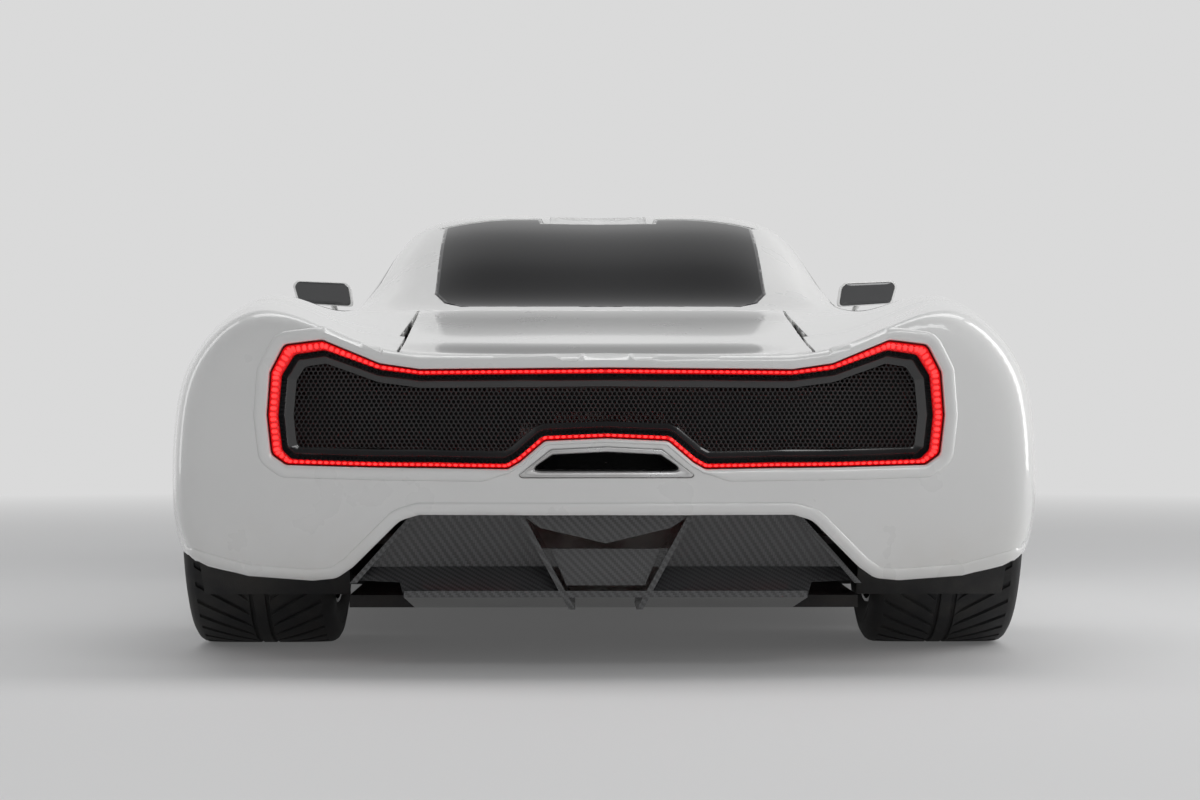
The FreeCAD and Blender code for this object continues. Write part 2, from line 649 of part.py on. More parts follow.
def make_front_fender(shell):
    """Right front fender, with its arch."""
    belt = across(BELT_SHARE)
    outer = HALF_WIDTH + OVERRUN
    start = along(FENDER_REAR_SHARE)
    middle = along(DOOR_MIDDLE_SHARE)
    nose_side = across(LID_NOSE_SIDE_SHARE)
    plan = [(belt, start), (belt, along(CABIN_FRONT_SHARE)),
            (across(LID_SIDE_SHARE) + SHUT_GAP, along(CABIN_FRONT_SHARE)),
            (nose_side + SHUT_GAP, along(LID_NOSE_SHARE)), (nose_side + SHUT_GAP, along(FRONT_SEAM_SHARE)),
            (outer, along(FRONT_SEAM_SHARE)), (outer, start)]
    body = shell.common(plan_prism(plan))
    rear = door_side(DOOR_FRONT_SHARES, DOOR_GAP) + [(middle, SILL_TOP - OVERRUN),
                                                     (middle, up(DOOR_CUT_SHARE))]
    door_room = side_prism(rear, belt - OVERRUN, outer)
    low = block(nose_side, outer, middle, FRONT_AXLE, -OVERRUN, SILL_TOP)
    under = block(nose_side, outer, middle, HALF_LENGTH, -OVERRUN, FLOOR_HEIGHT + SPLITTER_WALL)
    arch = arch_cutter(FRONT_ARCH_RADIUS, FRONT_AXLE, FRONT_TYRE_RADIUS)
    room = tyre_room(FRONT_TYRE_RADIUS, FRONT_WHEEL_X, FRONT_TYRE_WIDTH, FRONT_AXLE)
    return body.cut([door_room, low, under, arch, room])


def make_front_bumper(shell):
    seam = along(FRONT_SEAM_SHARE)
    nose_edge = along(LID_NOSE_SHARE) + SHUT_GAP
    side = across(LID_NOSE_SIDE_SHARE) + SHUT_GAP
    half = [(0.0, nose_edge), (side, nose_edge), (side, seam), (HALF_WIDTH + OVERRUN, seam),
            (HALF_WIDTH + OVERRUN, HALF_LENGTH + OVERRUN), (0.0, HALF_LENGTH + OVERRUN)]
    body = shell.common(plan_prism(both_sides(half)))
    intake = rear_prism(rear_outline(INTAKE_SHARES), NOSE_START, NOSE_END, INTAKE_ROUND)
    side_hole = rear_prism(half_rear_outline(SIDE_INTAKE_SHARES), NOSE_START, NOSE_END, INTAKE_ROUND)
    under = block(-HALF_WIDTH - OVERRUN, HALF_WIDTH + OVERRUN, FRONT_AXLE, NOSE_END, -OVERRUN,
                  FLOOR_HEIGHT + SPLITTER_WALL)
    return body.cut([intake, side_hole, mirrored(side_hole), under])


def make_sill(shell):
    start = REAR_AXLE + REAR_ARCH_RADIUS
    end = FRONT_AXLE - FRONT_ARCH_RADIUS
    return shell.common(block(across(BELT_SHARE), HALF_WIDTH + OVERRUN, start, end, FLOOR_HEIGHT,
                              SILL_TOP))


def skin_height(x, y):
    """Height of the outer skin at one place."""
    line = Part.makeLine(vec(x, y, SILL_TOP), vec(x, y, BODY_HEIGHT + OVERRUN))
    return OUTER.common(line).BoundBox.ZMax


def hinge_line(frame_edge, way):
    """Middle of the hinge barrel in the gap beside an edge of the cabin frame, as (y, z)."""
    y = frame_edge + way * SHUT_GAP / 2
    return y, skin_height(HINGE_HALF_WIDTH, y) - HINGE_RADIUS


def hinge_barrel(frame_edge, way):
    """Barrel that a lid turns on, with the leaf that holds it to the cabin frame."""
    y, z = hinge_line(frame_edge, way)
    start = vec(-HINGE_HALF_WIDTH, y, z)
    barrel = rod(start, start + vec(2 * HINGE_HALF_WIDTH, 0, 0), around(HINGE_RADIUS, PIN_SIDES),
                 PIN_SIDES)
    back = frame_edge - way * HINGE_RADIUS
    leaf = block(-HINGE_HALF_WIDTH, HINGE_HALF_WIDTH, min(back, y), max(back, y), z - HINGE_RADIUS / 2,
                 z + HINGE_RADIUS / 2)
    return barrel.fuse(leaf)


def make_cabin_frame(shell, holes):
    belt = across(BELT_SHARE)
    body = shell.common(block(-belt, belt, along(CABIN_REAR_SHARE), along(CABIN_FRONT_SHARE),
                              up(UPPER_SHARE),
                              BODY_HEIGHT + OVERRUN))
    barrels = [hinge_barrel(along(CABIN_FRONT_SHARE), 1), hinge_barrel(along(CABIN_REAR_SHARE), -1)]
    return body.cut(holes).fuse(barrels).removeSplitter()


def make_roof(shell):
    body = shell.common(plan_prism(plan_outline(ROOF_SHARES)))
    floor_front = (along(TROUGH_FRONT_SHARE), up(TROUGH_FRONT_HEIGHT_SHARE))
    floor_rear = (along(ROOF_REAR_SHARE), up(TROUGH_REAR_HEIGHT_SHARE))
    channel = side_prism([floor_front, floor_rear, (floor_rear[0], BODY_HEIGHT + OVERRUN),
                          (floor_front[0], BODY_HEIGHT + OVERRUN)], -TROUGH_HALF_WIDTH, TROUGH_HALF_WIDTH)
    lining = side_prism([(floor_front[0], floor_front[1] - PANEL_WALL), (floor_rear[0],
                                                                         floor_rear[1] - TROUGH_WALL),
                         (floor_rear[0], BODY_HEIGHT), (floor_front[0], BODY_HEIGHT)],
                        -TROUGH_HALF_WIDTH - TROUGH_WALL, TROUGH_HALF_WIDTH + TROUGH_WALL)
    tray = lining.common(OUTER)
    return body.fuse(tray).cut(channel).removeSplitter()


def make_door(shell):
    return shell.common(door_prism(0.0))


def make_side_glass(shell):
    prism = side_prism(side_outline(SIDE_GLASS_SHARES), across(SIDE_GLASS_INNER_SHARE),
                       across(BELT_SHARE) - SEAT_GAP,
                       GLASS_ROUND)
    return shell.common(prism)


def side_glass_hole():
    outline = grown_outline(side_outline(SIDE_GLASS_SHARES), SHUT_GAP)
    return side_prism(outline, across(SIDE_GLASS_INNER_SHARE), HALF_WIDTH, GLASS_ROUND + SHUT_GAP)


def make_mirror():
    """Mirror housing on a blade that stands on the door."""
    y = along(MIRROR_SHARE)
    rear = [vec(across(x), y, up(z)) for x, z in MIRROR_SHARES]
    middle = sum(rear, vec(0, 0, 0)) * (1 / len(rear))
    nose = [middle + (p - middle) * MIRROR_TAPER_SHARE + vec(0, MIRROR_DEPTH, 0) for p in rear]
    count = len(rear)
    sides = [polygon_face([rear[i], rear[(i + 1) % count], nose[(i + 1) % count], nose[i]])
             for i in range(count)]
    shell = Part.makeShell(sides + [polygon_face(rear), polygon_face(nose)])
    shell.sewShape()
    housing = Part.makeSolid(shell)
    if housing.Volume < 0:
        housing.reverse()
    foot = [(across(x), up(z)) for x, z in MIRROR_BLADE_SHARES]
    blade = rear_prism(foot, y + MIRROR_DEPTH * MIRROR_BLADE_START, y + MIRROR_DEPTH * MIRROR_BLADE_END)
    return housing.fuse(blade).cut(DOOR_STAND).removeSplitter()


def turned(profile, sides, centre, axis, start):
    """Ring turned in flats about an axis, from (offset along the axis, radius) points."""
    side = axis.cross(start)
    rings = []
    for k in range(sides):
        angle = 2 * math.pi * (k + 0.5) / sides
        way = start * math.cos(angle) + side * math.sin(angle)
        rings.append([centre + axis * a + way * r for a, r in profile])
    faces = []
    for k in range(sides):
        here = rings[k]
        there = rings[(k + 1) % sides]
        for i in range(len(profile)):
            j = (i + 1) % len(profile)
            faces.append(polygon_face([here[i], here[j], there[j], there[i]]))
    shell = Part.makeShell(faces)
    shell.sewShape()
    solid = Part.makeSolid(shell)
    if solid.Volume < 0:
        solid.reverse()
    return solid


def revolved(profile, axle_x, axle_y, axle_z, sides):
    """Ring on a wheel's axis, from (offset across, radius) points."""
    return turned(profile, sides, vec(axle_x, axle_y, axle_z), vec(1, 0, 0), vec(0, 0, 1))


def rod(a, b, radius, sides, turn=.5):
    """Straight rod in flats between two points, with its corners turned by part of a flat."""
    axis = b - a
    length = axis.Length
    axis = axis * (1 / length)
    start = axis.cross(vec(0, 0, 1)) if abs(axis.z) < ROD_UPRIGHT_SHARE else axis.cross(vec(0, 1, 0))
    start = start * (1 / start.Length)
    other = axis.cross(start)
    angles = [2 * math.pi * (k + turn) / sides for k in range(sides)]
    ring = [a + (start * math.cos(angle) + other * math.sin(angle)) * radius for angle in angles]
    return polygon_face(ring).extrude(axis * length)


def make_tyre(x, y, radius, width):
    half = width / 2
    cut = TYRE_SHOULDER * SHOULDER_SHARE
    tread = around(radius, WHEEL_SIDES)
    profile = [(half - TYRE_SHOULDER, tread), (half - cut, tread - cut), (half, (radius + RIM_RADIUS) / 2),
               (half - TYRE_BEAD_TUCK, RIM_RADIUS)]
    profile = [(-a, r) for a, r in reversed(profile)] + profile
    return revolved(profile, x, y, radius, WHEEL_SIDES)


def make_spoke(x, y, z, reach, turn, lean):
    """One spoke of a pair, from the hub to the barrel, turned about the axle."""
    root = SPOKE_WIDTH * SPOKE_ROOT_SHARE * lean
    tip = SPOKE_SPREAD * lean
    outline = [(root - SPOKE_WIDTH / 2, HUB_RADIUS * HUB_FACE_SHARE), (root + SPOKE_WIDTH / 2,
                                                                       HUB_RADIUS * HUB_FACE_SHARE),
               (tip + SPOKE_WIDTH / 2, RIM_RADIUS), (tip - SPOKE_WIDTH / 2, RIM_RADIUS)]
    spoke = polygon_face([vec(x, y + a, z + r) for a, r in outline]).extrude(vec(-SPOKE_DEPTH, 0, 0))
    spoke.rotate(vec(x, y, z), vec(1, 0, 0), turn)
    return spoke.common(reach)


def make_rim(x, y, radius, width):
    """Rim with its spokes, hub and brake disc."""
    half = width / 2 - TYRE_BEAD_TUCK
    inner = RIM_RADIUS - RIM_WALL
    barrel = revolved([(-half, RIM_RADIUS), (half, RIM_RADIUS), (half, inner), (-half, inner)], x, y,
                      radius, WHEEL_SIDES)
    face_x = half - SPOKE_SET
    core = HUB_BORE_RADIUS / 2
    eye = HUB_RADIUS * DISC_EYE_SHARE
    hub = revolved([(DISC_FACE, core), (face_x, core), (face_x, HUB_RADIUS * HUB_FACE_SHARE),
                    (face_x - SPOKE_DEPTH, HUB_RADIUS), (DISC_FACE, HUB_RADIUS)], x, y, radius, HUB_SIDES)
    disc = revolved([(DISC_FACE, eye), (DISC_FACE, DISC_RADIUS), (DISC_FACE + DISC_WALL, DISC_RADIUS),
                     (DISC_FACE + DISC_WALL, eye)], x, y, radius, DISC_SIDES)
    reach = wheel_cylinder(RIM_RADIUS - RIM_WALL * RIM_REACH_SHARE, x - half, x + half, y, radius)
    spokes = [make_spoke(x + face_x, y, radius, reach, math.degrees(2 * math.pi * k / SPOKE_COUNT), lean)
              for k in range(SPOKE_COUNT) for lean in (-1, 1)]
    bore = axle_bore(x + DISC_FACE - OVERRUN, x + half + OVERRUN, y, radius)
    return barrel.fuse([hub, disc] + spokes).cut(bore).removeSplitter()


def make_caliper(x, y, z):
    """Brake caliper, an arc that straddles the disc behind the axle."""
    outer = RIM_RADIUS - RIM_WALL - CALIPER_GAP
    start = x + DISC_FACE - CALIPER_GAP - CALIPER_WALL
    end = x + DISC_FACE + DISC_WALL + CALIPER_GAP + CALIPER_WALL
    ring = wheel_cylinder(outer, start, end, y, z)
    eye = wheel_cylinder(CALIPER_INNER, start - OVERRUN, end + OVERRUN, y, z)
    slot = wheel_cylinder(DISC_RADIUS + CALIPER_GAP, x + DISC_FACE - CALIPER_GAP,
                          x + DISC_FACE + DISC_WALL + CALIPER_GAP,
                          y, z)
    window = block(start, end, y - outer - OVERRUN, y - outer * CALIPER_FRONT_SHARE,
                   z - CALIPER_HALF_HEIGHT,
                   z + CALIPER_HALF_HEIGHT)
    return ring.cut([eye, slot]).common(window)


def make_knuckle():
    """Front upright with its stub axle, the pins of its steering axis and the caliper."""
    x = FRONT_WHEEL_X
    y = FRONT_AXLE
    z = FRONT_TYRE_RADIUS
    pin_x = STEER_AXIS_X
    back = x + DISC_FACE - KNUCKLE_GAP
    plate = block(back - KNUCKLE_WALL, back, y - KNUCKLE_HALF_WIDTH, y + KNUCKLE_HALF_WIDTH,
                  z - KNUCKLE_HALF_HEIGHT, z + KNUCKLE_HALF_HEIGHT)
    post = block(pin_x - KNUCKLE_WALL / 2, back, y - KNUCKLE_WALL / 2, y + KNUCKLE_WALL / 2,
                 z - KNUCKLE_HALF_HEIGHT, z + KNUCKLE_HALF_HEIGHT)
    pin_half = KNUCKLE_HALF_HEIGHT + ARM_EYE_HEIGHT + KNUCKLE_GAP
    pin = rod(vec(pin_x, y, z - pin_half), vec(pin_x, y, z + pin_half), PIN_RADIUS, PIN_SIDES, 0)
    stub = axle_bar(back, x + DISC_FACE + HUB_RADIUS, y, z)
    lug = block(back - KNUCKLE_WALL, back, y - CALIPER_INNER - KNUCKLE_WALL, y, z - KNUCKLE_WALL / 2,
                z + KNUCKLE_WALL / 2)
    return plate.fuse([post, pin, stub, lug, make_caliper(x, y, z)]).removeSplitter()


def make_rear_upright():
    """Rear upright with its bearing bore, arms and caliper, on the right side."""
    x = REAR_WHEEL_X
    y = REAR_AXLE
    z = REAR_TYRE_RADIUS
    back = x + DISC_FACE - KNUCKLE_GAP
    plate = block(back - KNUCKLE_WALL, back, y - KNUCKLE_HALF_WIDTH, y + KNUCKLE_HALF_WIDTH,
                  z - KNUCKLE_HALF_HEIGHT, z + KNUCKLE_HALF_HEIGHT)
    lug = block(back - KNUCKLE_WALL, back, y - CALIPER_INNER - KNUCKLE_WALL, y, z - KNUCKLE_WALL / 2,
                z + KNUCKLE_WALL / 2)
    arms = []
    for rise in (-1, 1):
        top = z + rise * (KNUCKLE_HALF_HEIGHT - 2 * ARM_RADIUS)
        for lean in (-1, 1):
            root = vec(GEARBOX_HALF_WIDTH, y + lean * ARM_SPREAD, top)
            arms.append(tube_between(root, vec(back - KNUCKLE_WALL / 2, y + lean * ARM_RADIUS * 2, top),
                                     ARM_RADIUS))
    wall = block(0, GEARBOX_HALF_WIDTH + SEAT_GAP, y - 2 * ARM_SPREAD, y + 2 * ARM_SPREAD, 0, BODY_HEIGHT)
    bore = axle_bore(back - OVERRUN - KNUCKLE_WALL, back + OVERRUN, y, z)
    return plate.fuse([lug, make_caliper(x, y, z)] + arms).cut([bore, wall]).removeSplitter()


def make_front_arms():
    """Upper and lower front arms, from the boot wall to the eyes round the steering pins."""
    y = FRONT_AXLE
    shapes = []
    for rise in (-1, 1):
        level = FRONT_TYRE_RADIUS + rise * (KNUCKLE_HALF_HEIGHT + KNUCKLE_GAP + ARM_EYE_HEIGHT / 2)
        base = vec(STEER_AXIS_X, y, level - ARM_EYE_HEIGHT / 2)
        top = vec(STEER_AXIS_X, y, level + ARM_EYE_HEIGHT / 2)
        over = vec(0, 0, OVERRUN)
        eye = rod(base, top, ARM_EYE_RADIUS, PIN_SIDES)
        bore = rod(base - over, top + over, around(PIN_RADIUS + SEAT_GAP, PIN_SIDES), PIN_SIDES)
        arms = [tube_between(vec(BOOT_HALF_WIDTH, y + lean * ARM_SPREAD, level),
                             vec(STEER_AXIS_X - ARM_EYE_RADIUS / 2, y + lean * ARM_RADIUS,
                                 level), ARM_RADIUS)
                for lean in (-1, 1)]
        wall = block(0, BOOT_HALF_WIDTH + SEAT_GAP, y - 2 * ARM_SPREAD, y + 2 * ARM_SPREAD, 0, BODY_HEIGHT)
        shapes.append(eye.fuse(arms).cut([bore, wall]))
    return shapes


def make_half_shaft():
    """Drive shaft from the gearbox through the rear upright into the hub."""
    x = REAR_WHEEL_X
    y = REAR_AXLE
    z = REAR_TYRE_RADIUS
    back = x + DISC_FACE - KNUCKLE_GAP - KNUCKLE_WALL
    start = GEARBOX_HALF_WIDTH + SEAT_GAP
    bar = wheel_cylinder(SHAFT_RADIUS, start, back, y, z)
    spindle = axle_bar(back - KNUCKLE_GAP, x + DISC_FACE + HUB_RADIUS, y, z)
    inner_joint = wheel_cylinder(JOINT_RADIUS, start, start + JOINT_LENGTH, y, z)
    outer_joint = wheel_cylinder(JOINT_RADIUS, back - KNUCKLE_GAP - JOINT_LENGTH, back - KNUCKLE_GAP, y, z)
    return bar.fuse([spindle, inner_joint, outer_joint]).removeSplitter()


def make_liner(radius, axle_y, axle_z, inner_x):
    """Arched liner over a wheel, up to the inside of the body."""
    band = wheel_cylinder(radius + LINER_WALL, inner_x, HALF_WIDTH, axle_y, axle_z)
    band = band.cut(wheel_cylinder(radius, inner_x - OVERRUN, HALF_WIDTH + OVERRUN, axle_y, axle_z))
    band = band.common(block(0, HALF_WIDTH, axle_y - 2 * radius, axle_y + 2 * radius, FLOOR_TOP,
                             BODY_HEIGHT))
    return band.common(PANEL_INNER)


def make_engine():
    """Engine and gearbox as one block."""
    engine = block(-ENGINE_HALF_WIDTH, ENGINE_HALF_WIDTH, along(ENGINE_REAR_SHARE),
                   along(ENGINE_FRONT_SHARE),
                   FLOOR_TOP, cabin_up(ENGINE_TOP_SHARE))
    gearbox = block(-GEARBOX_HALF_WIDTH, GEARBOX_HALF_WIDTH, along(GEARBOX_REAR_SHARE),
                    along(ENGINE_REAR_SHARE),
                    FLOOR_TOP, cabin_up(GEARBOX_TOP_SHARE))
    return engine.fuse(gearbox).removeSplitter()


def make_tub():
    """Floor, front and rear bulkheads, tunnel and boot walls."""
    low = FLOOR_HEIGHT
    top = FLOOR_TOP
    rear_end = REAR_AXLE + REAR_ARCH_RADIUS
    front_end = FIREWALL_FACE
    middle = BUMPER_INNER.common(block(-HALF_WIDTH, HALF_WIDTH, rear_end, front_end, low, top))
    rear = block(-REAR_FLOOR_HALF_WIDTH, REAR_FLOOR_HALF_WIDTH, along(DIFFUSER_FRONT_SHARE), rear_end,
                 low, top)
    front = block(-BOOT_HALF_WIDTH, BOOT_HALF_WIDTH, front_end, along(SPLITTER_REAR_SHARE), low, top)
    bulkhead_y = along(BULKHEAD_SHARE)
    bulkhead = BUMPER_INNER.common(block(-HALF_WIDTH, HALF_WIDTH, bulkhead_y - BULKHEAD_WALL, bulkhead_y,
                                         top,
                                        cabin_up(BULKHEAD_TOP_SHARE)))
    firewall = PANEL_INNER.common(block(-HALF_WIDTH, HALF_WIDTH, front_end - BULKHEAD_WALL, front_end,
                                        SILL_TOP,
                                        BODY_HEIGHT))
    toe = block(-across(BELT_SHARE), across(BELT_SHARE), front_end - BULKHEAD_WALL, front_end, top,
                SILL_TOP)
    tunnel = block(-TUNNEL_HALF_WIDTH, TUNNEL_HALF_WIDTH, bulkhead_y, front_end - BULKHEAD_WALL, top,
                   cabin_up(TUNNEL_TOP_SHARE))
    walls = [block(side * BOOT_HALF_WIDTH - (BULKHEAD_WALL if side > 0 else 0),
                   side * BOOT_HALF_WIDTH + (0 if side > 0 else BULKHEAD_WALL),
                   front_end, along(SPLITTER_REAR_SHARE), top, cabin_up(BOOT_WALL_TOP_SHARE))
             for side in (-1, 1)]
    pads = [block(x - JACK_PAD / 2, x + JACK_PAD / 2, y - JACK_PAD / 2, y + JACK_PAD / 2,
                  low - JACK_PAD_DROP, low)
            for x in (-JACK_PAD_X, JACK_PAD_X) for y in (rear_end + JACK_PAD, front_end - JACK_PAD)]
    return middle.fuse([rear, front, bulkhead, firewall, toe, tunnel] + walls + pads).removeSplitter()


def make_splitter():
    plan = plan_outline(SPLITTER_SHARES)
    face = rounded_face([vec(x, y, FLOOR_HEIGHT) for x, y in plan], 0.0)
    return face.extrude(vec(0, 0, SPLITTER_WALL))


def make_dashboard():
    start = FIREWALL_FACE - BULKHEAD_WALL
    outline = [(start - a * DASH_DEPTH, cabin_up(z)) for a, z in DASH_SHARES]
    body = side_prism(outline, -DASH_HALF_WIDTH, DASH_HALF_WIDTH).common(MESH_FRONT)
    end = STEERING_CENTRE - STEERING_AXIS * STEERING_COLUMN
    start = STEERING_CENTRE - STEERING_AXIS * (STEERING_HUB_WALL / 2 + SEAT_GAP)
    column = tube_between(start, end, STEERING_COLUMN_RADIUS)
    return body.fuse(column).removeSplitter()


def make_steering_wheel():
    side = vec(1, 0, 0)
    angles = [2 * math.pi * (k + .5) / ROD_SIDES for k in range(ROD_SIDES)]
    grip = [(STEERING_GRIP * math.cos(a), STEERING_RADIUS + STEERING_GRIP * math.sin(a)) for a in angles]
    rim = turned(grip, DISC_SIDES, STEERING_CENTRE, STEERING_AXIS, side)
    half = STEERING_AXIS * (STEERING_HUB_WALL / 2)
    hub = rod(STEERING_CENTRE - half, STEERING_CENTRE + half, STEERING_HUB_RADIUS, HUB_SIDES)
    down = side.cross(STEERING_AXIS)
    bars = [tube_between(STEERING_CENTRE, STEERING_CENTRE + way * STEERING_RADIUS, STEERING_SPOKE)
            for way in (side, side * -1.0, down)]
    return rim.fuse([hub] + bars).removeSplitter()


def make_seat(x):
    """Bucket seat with raised sides, plain because it is a soft part."""
    outline = [(along(y), cabin_up(z)) for y, z in SEAT_SHARES]
    body = side_prism(outline, x - SEAT_HALF_WIDTH, x + SEAT_HALF_WIDTH, SEAT_ROUND)
    hollow = [(along(y), cabin_up(z)) for y, z in SEAT_HOLLOW_SHARES]
    inner = side_prism(hollow, x - SEAT_HALF_WIDTH + SEAT_BOLSTER, x + SEAT_HALF_WIDTH - SEAT_BOLSTER)
    return body.cut(inner)


def make_diffuser():
    """Tail floor: a ramp, a creased panel each side between a rim and a fin, and the centre."""
    rear = along(DIFFUSER_REAR_SHARE)
    front = along(DIFFUSER_FRONT_SHARE)
    edge = up(DIFFUSER_RAMP_SHARE)
    half = across(DIFFUSER_PANEL_SHARES[-2][0])
    ramp = side_prism([(front, FLOOR_HEIGHT), (front, FLOOR_TOP), (rear, edge + DIFFUSER_WALL),
                       (rear, edge)], -half, half)
    top = up(DIFFUSER_PANEL_SHARES[0][1])
    crease = up(DIFFUSER_CREASE_SHARE)
    line = [(rear + DIFFUSER_TOP_SET, top), (rear + DIFFUSER_CREASE_SET, crease), (rear, edge)]
    fold = side_prism(line + [(y + DIFFUSER_WALL, z) for y, z in reversed(line)], 0, HALF_WIDTH)
    end = rear + DIFFUSER_CREASE_SET + 2 * DIFFUSER_WALL
    panel = fold.common(rear_prism(half_rear_outline(DIFFUSER_PANEL_SHARES), rear - OVERRUN, end))
    rim = rear_prism(half_rear_outline(DIFFUSER_RIM_SHARES), rear, rear + DIFFUSER_RIM_LENGTH)
    fin = rear_prism(half_rear_outline(DIFFUSER_FIN_SHARES), rear, rear + DIFFUSER_FIN_LENGTH)
    blade_start = rear + DIFFUSER_BLADE_SET
    blade = rear_prism(rear_outline(DIFFUSER_BLADE_SHARES), blade_start, blade_start + DIFFUSER_WALL)
    centre_start = rear + DIFFUSER_CENTRE_SET
    centre = rear_prism(rear_outline(DIFFUSER_CENTRE_SHARES), centre_start, centre_start + DIFFUSER_WALL)
    carrier_start = centre_start + DIFFUSER_WALL
    carrier = rear_prism(rear_outline(DIFFUSER_CARRIER_SHARES), carrier_start,
                         carrier_start + DIFFUSER_WALL)
    sides = [panel, rim, fin]
    return ramp.fuse(sides + [mirrored(s) for s in sides] + [blade, centre, carrier]).removeSplitter()


def grown_prism(outline, amount, start_y, end_y, radius):
    """Prism along the body, grown by an even amount all round, or shrunk where that is negative."""
    return rear_prism(grown_outline(outline, amount), start_y, end_y, radius + amount)


def make_exhaust():
    """Square trim of the exhaust, closed at its front end."""
    outline = rear_outline(EXHAUST_SHARES)
    start = tail_y(0, up(EXHAUST_SHARES[0][1])) - EXHAUST_PROUD
    outer = rear_prism(outline, start, start + EXHAUST_DEPTH, EXHAUST_ROUND)
    end = start + EXHAUST_DEPTH - EXHAUST_WALL
    return outer.cut(rear_prism(rear_outline(EXHAUST_INNER_SHARES), start - OVERRUN, end, EXHAUST_ROUND))


def both(shape):
    """A piece and its mirror image as one node."""
    return Part.makeCompound([shape, mirrored(shape)])


def upper_room(base_share):
    """Everything above a share of the body's height."""
    return block(-HALF_WIDTH, HALF_WIDTH, -HALF_LENGTH, HALF_LENGTH, up(base_share), BODY_HEIGHT + OVERRUN)


def cover_outline(gap):
    """Half plan of the engine cover, grown by a gap on its sides and at its lip."""
    start = along(CABIN_REAR_SHARE) - SHUT_GAP + gap
    lip = along(DECK_LIP_SHARE) - gap
    return [(0.0, start), (across(DECK_SIDE_SHARE) + gap, start), (across(DECK_LIP_SIDE_SHARE) + gap,
                                                                   lip), (0.0, lip)]


def tail_pieces():
    """Tail panel, engine cover, light ring, tail mesh, exhaust trim and diffuser."""
    ring = rear_outline(RING_SHARES)
    ring_opening = grown_prism(ring, TRIM_GAP, TAIL_START, TAIL_END, RING_ROUND)
    ring_outer = grown_prism(ring, 0.0, TAIL_START, TAIL_END, RING_ROUND)
    ring_hole = grown_prism(rear_outline(RING_INNER_SHARES), 0.0, TAIL_START, TAIL_END, RING_ROUND)
    mesh_outer = grown_prism(ring, MESH_LAP, TAIL_START, TAIL_END, RING_ROUND)
    exhaust_opening = grown_prism(rear_outline(EXHAUST_SHARES), SEAT_GAP, TAIL_START, TAIL_END,
                                  EXHAUST_ROUND)
    cover_room = plan_prism(both_sides(cover_outline(SHUT_GAP))).common(upper_room(UPPER_SHARE))
    cover = plan_prism(both_sides(cover_outline(0.0))).common(upper_room(COVER_BASE_SHARE))
    return {
        "engine_cover": PANEL_SHELL.common(cover),
        "rear_bumper": make_rear_bumper(BUMPER_SHELL, [ring_opening, exhaust_opening, cover_room]),
        "light_ring": RING_FRONT.cut(BUMPER_INNER).common(ring_outer).cut(ring_hole),
        "rear_mesh": MESH_FRONT.cut(MESH_INNER).common(mesh_outer).cut(exhaust_opening),
        "exhaust": make_exhaust(),
        "diffuser": make_diffuser(),
    }


def headlamp_room():
    """Upright prism that cuts the right headlamp out of the nose."""
    prism = plan_prism([(across(x), along(y)) for y, x in HEADLAMP_SHARES])
    return prism.common(block(0, HALF_WIDTH, 0, HALF_LENGTH, up(LAMP_BASE_SHARE), BODY_HEIGHT))


def nose_pieces():
    """Front bumper, lid, grilles, headlamps and splitter."""
    lamp = headlamp_room()
    intake = grown_prism(rear_outline(INTAKE_SHARES), MESH_LAP, NOSE_START, NOSE_END, INTAKE_ROUND)
    side_intake = grown_prism(half_rear_outline(SIDE_INTAKE_SHARES), MESH_LAP, NOSE_START, NOSE_END,
                              INTAKE_ROUND)
    room = block(-HALF_WIDTH, HALF_WIDTH, FRONT_AXLE, NOSE_END, FLOOR_HEIGHT + SPLITTER_WALL, BODY_HEIGHT)
    grille = MESH_FRONT.cut(MESH_INNER).common(intake.fuse([side_intake,
                                                            mirrored(side_intake)])).common(room)
    hinge = along(CABIN_FRONT_SHARE) + SHUT_GAP
    nose = along(LID_NOSE_SHARE)
    lid = plan_prism(both_sides([(0.0, hinge), (across(LID_SIDE_SHARE), hinge),
                                 (across(LID_NOSE_SIDE_SHARE), nose),
                                 (0.0, nose)]))
    return {
        "front_lid": PANEL_SHELL.common(lid).common(upper_room(LAMP_BASE_SHARE)),
        "front_bumper": make_front_bumper(BUMPER_SHELL).cut([lamp, mirrored(lamp)]),
        "splitter": make_splitter(),
        "front_grille": grille,
        "headlamps": both(BUMPER_SHELL.common(lamp)),
    }


def cabin_pieces():
    """Tub, roof, glass and what stands in the cabin, with the engine behind it."""
    windscreen = plan_prism(plan_outline(WINDSCREEN_SHARES))
    rear_glass = plan_prism(plan_outline(REAR_GLASS_SHARES))
    roof = plan_prism(plan_outline(ROOF_SHARES))
    slot = plan_prism([(across(x), along(y)) for y, x in ROOF_SLOT_SHARES])
    side_glass = side_glass_hole()
    holes = [windscreen, rear_glass, roof, slot, mirrored(slot), side_glass, mirrored(side_glass)]
    upper = upper_room(UPPER_SHARE)
    return {
        "tub": make_tub(),
        "cabin_frame": make_cabin_frame(PANEL_SHELL, holes),
        "roof": make_roof(PANEL_SHELL),
        "windscreen": GLASS_SHELL.common(windscreen).common(upper),
        "rear_window": GLASS_SHELL.common(rear_glass).common(upper),
        "sills": both(make_sill(BUMPER_SHELL)),
        "engine": make_engine(),
        "dashboard": make_dashboard(),
        "steering_wheel": make_steering_wheel(),
        "seats": Part.makeCompound([make_seat(-SEAT_X), make_seat(SEAT_X)]),
    }


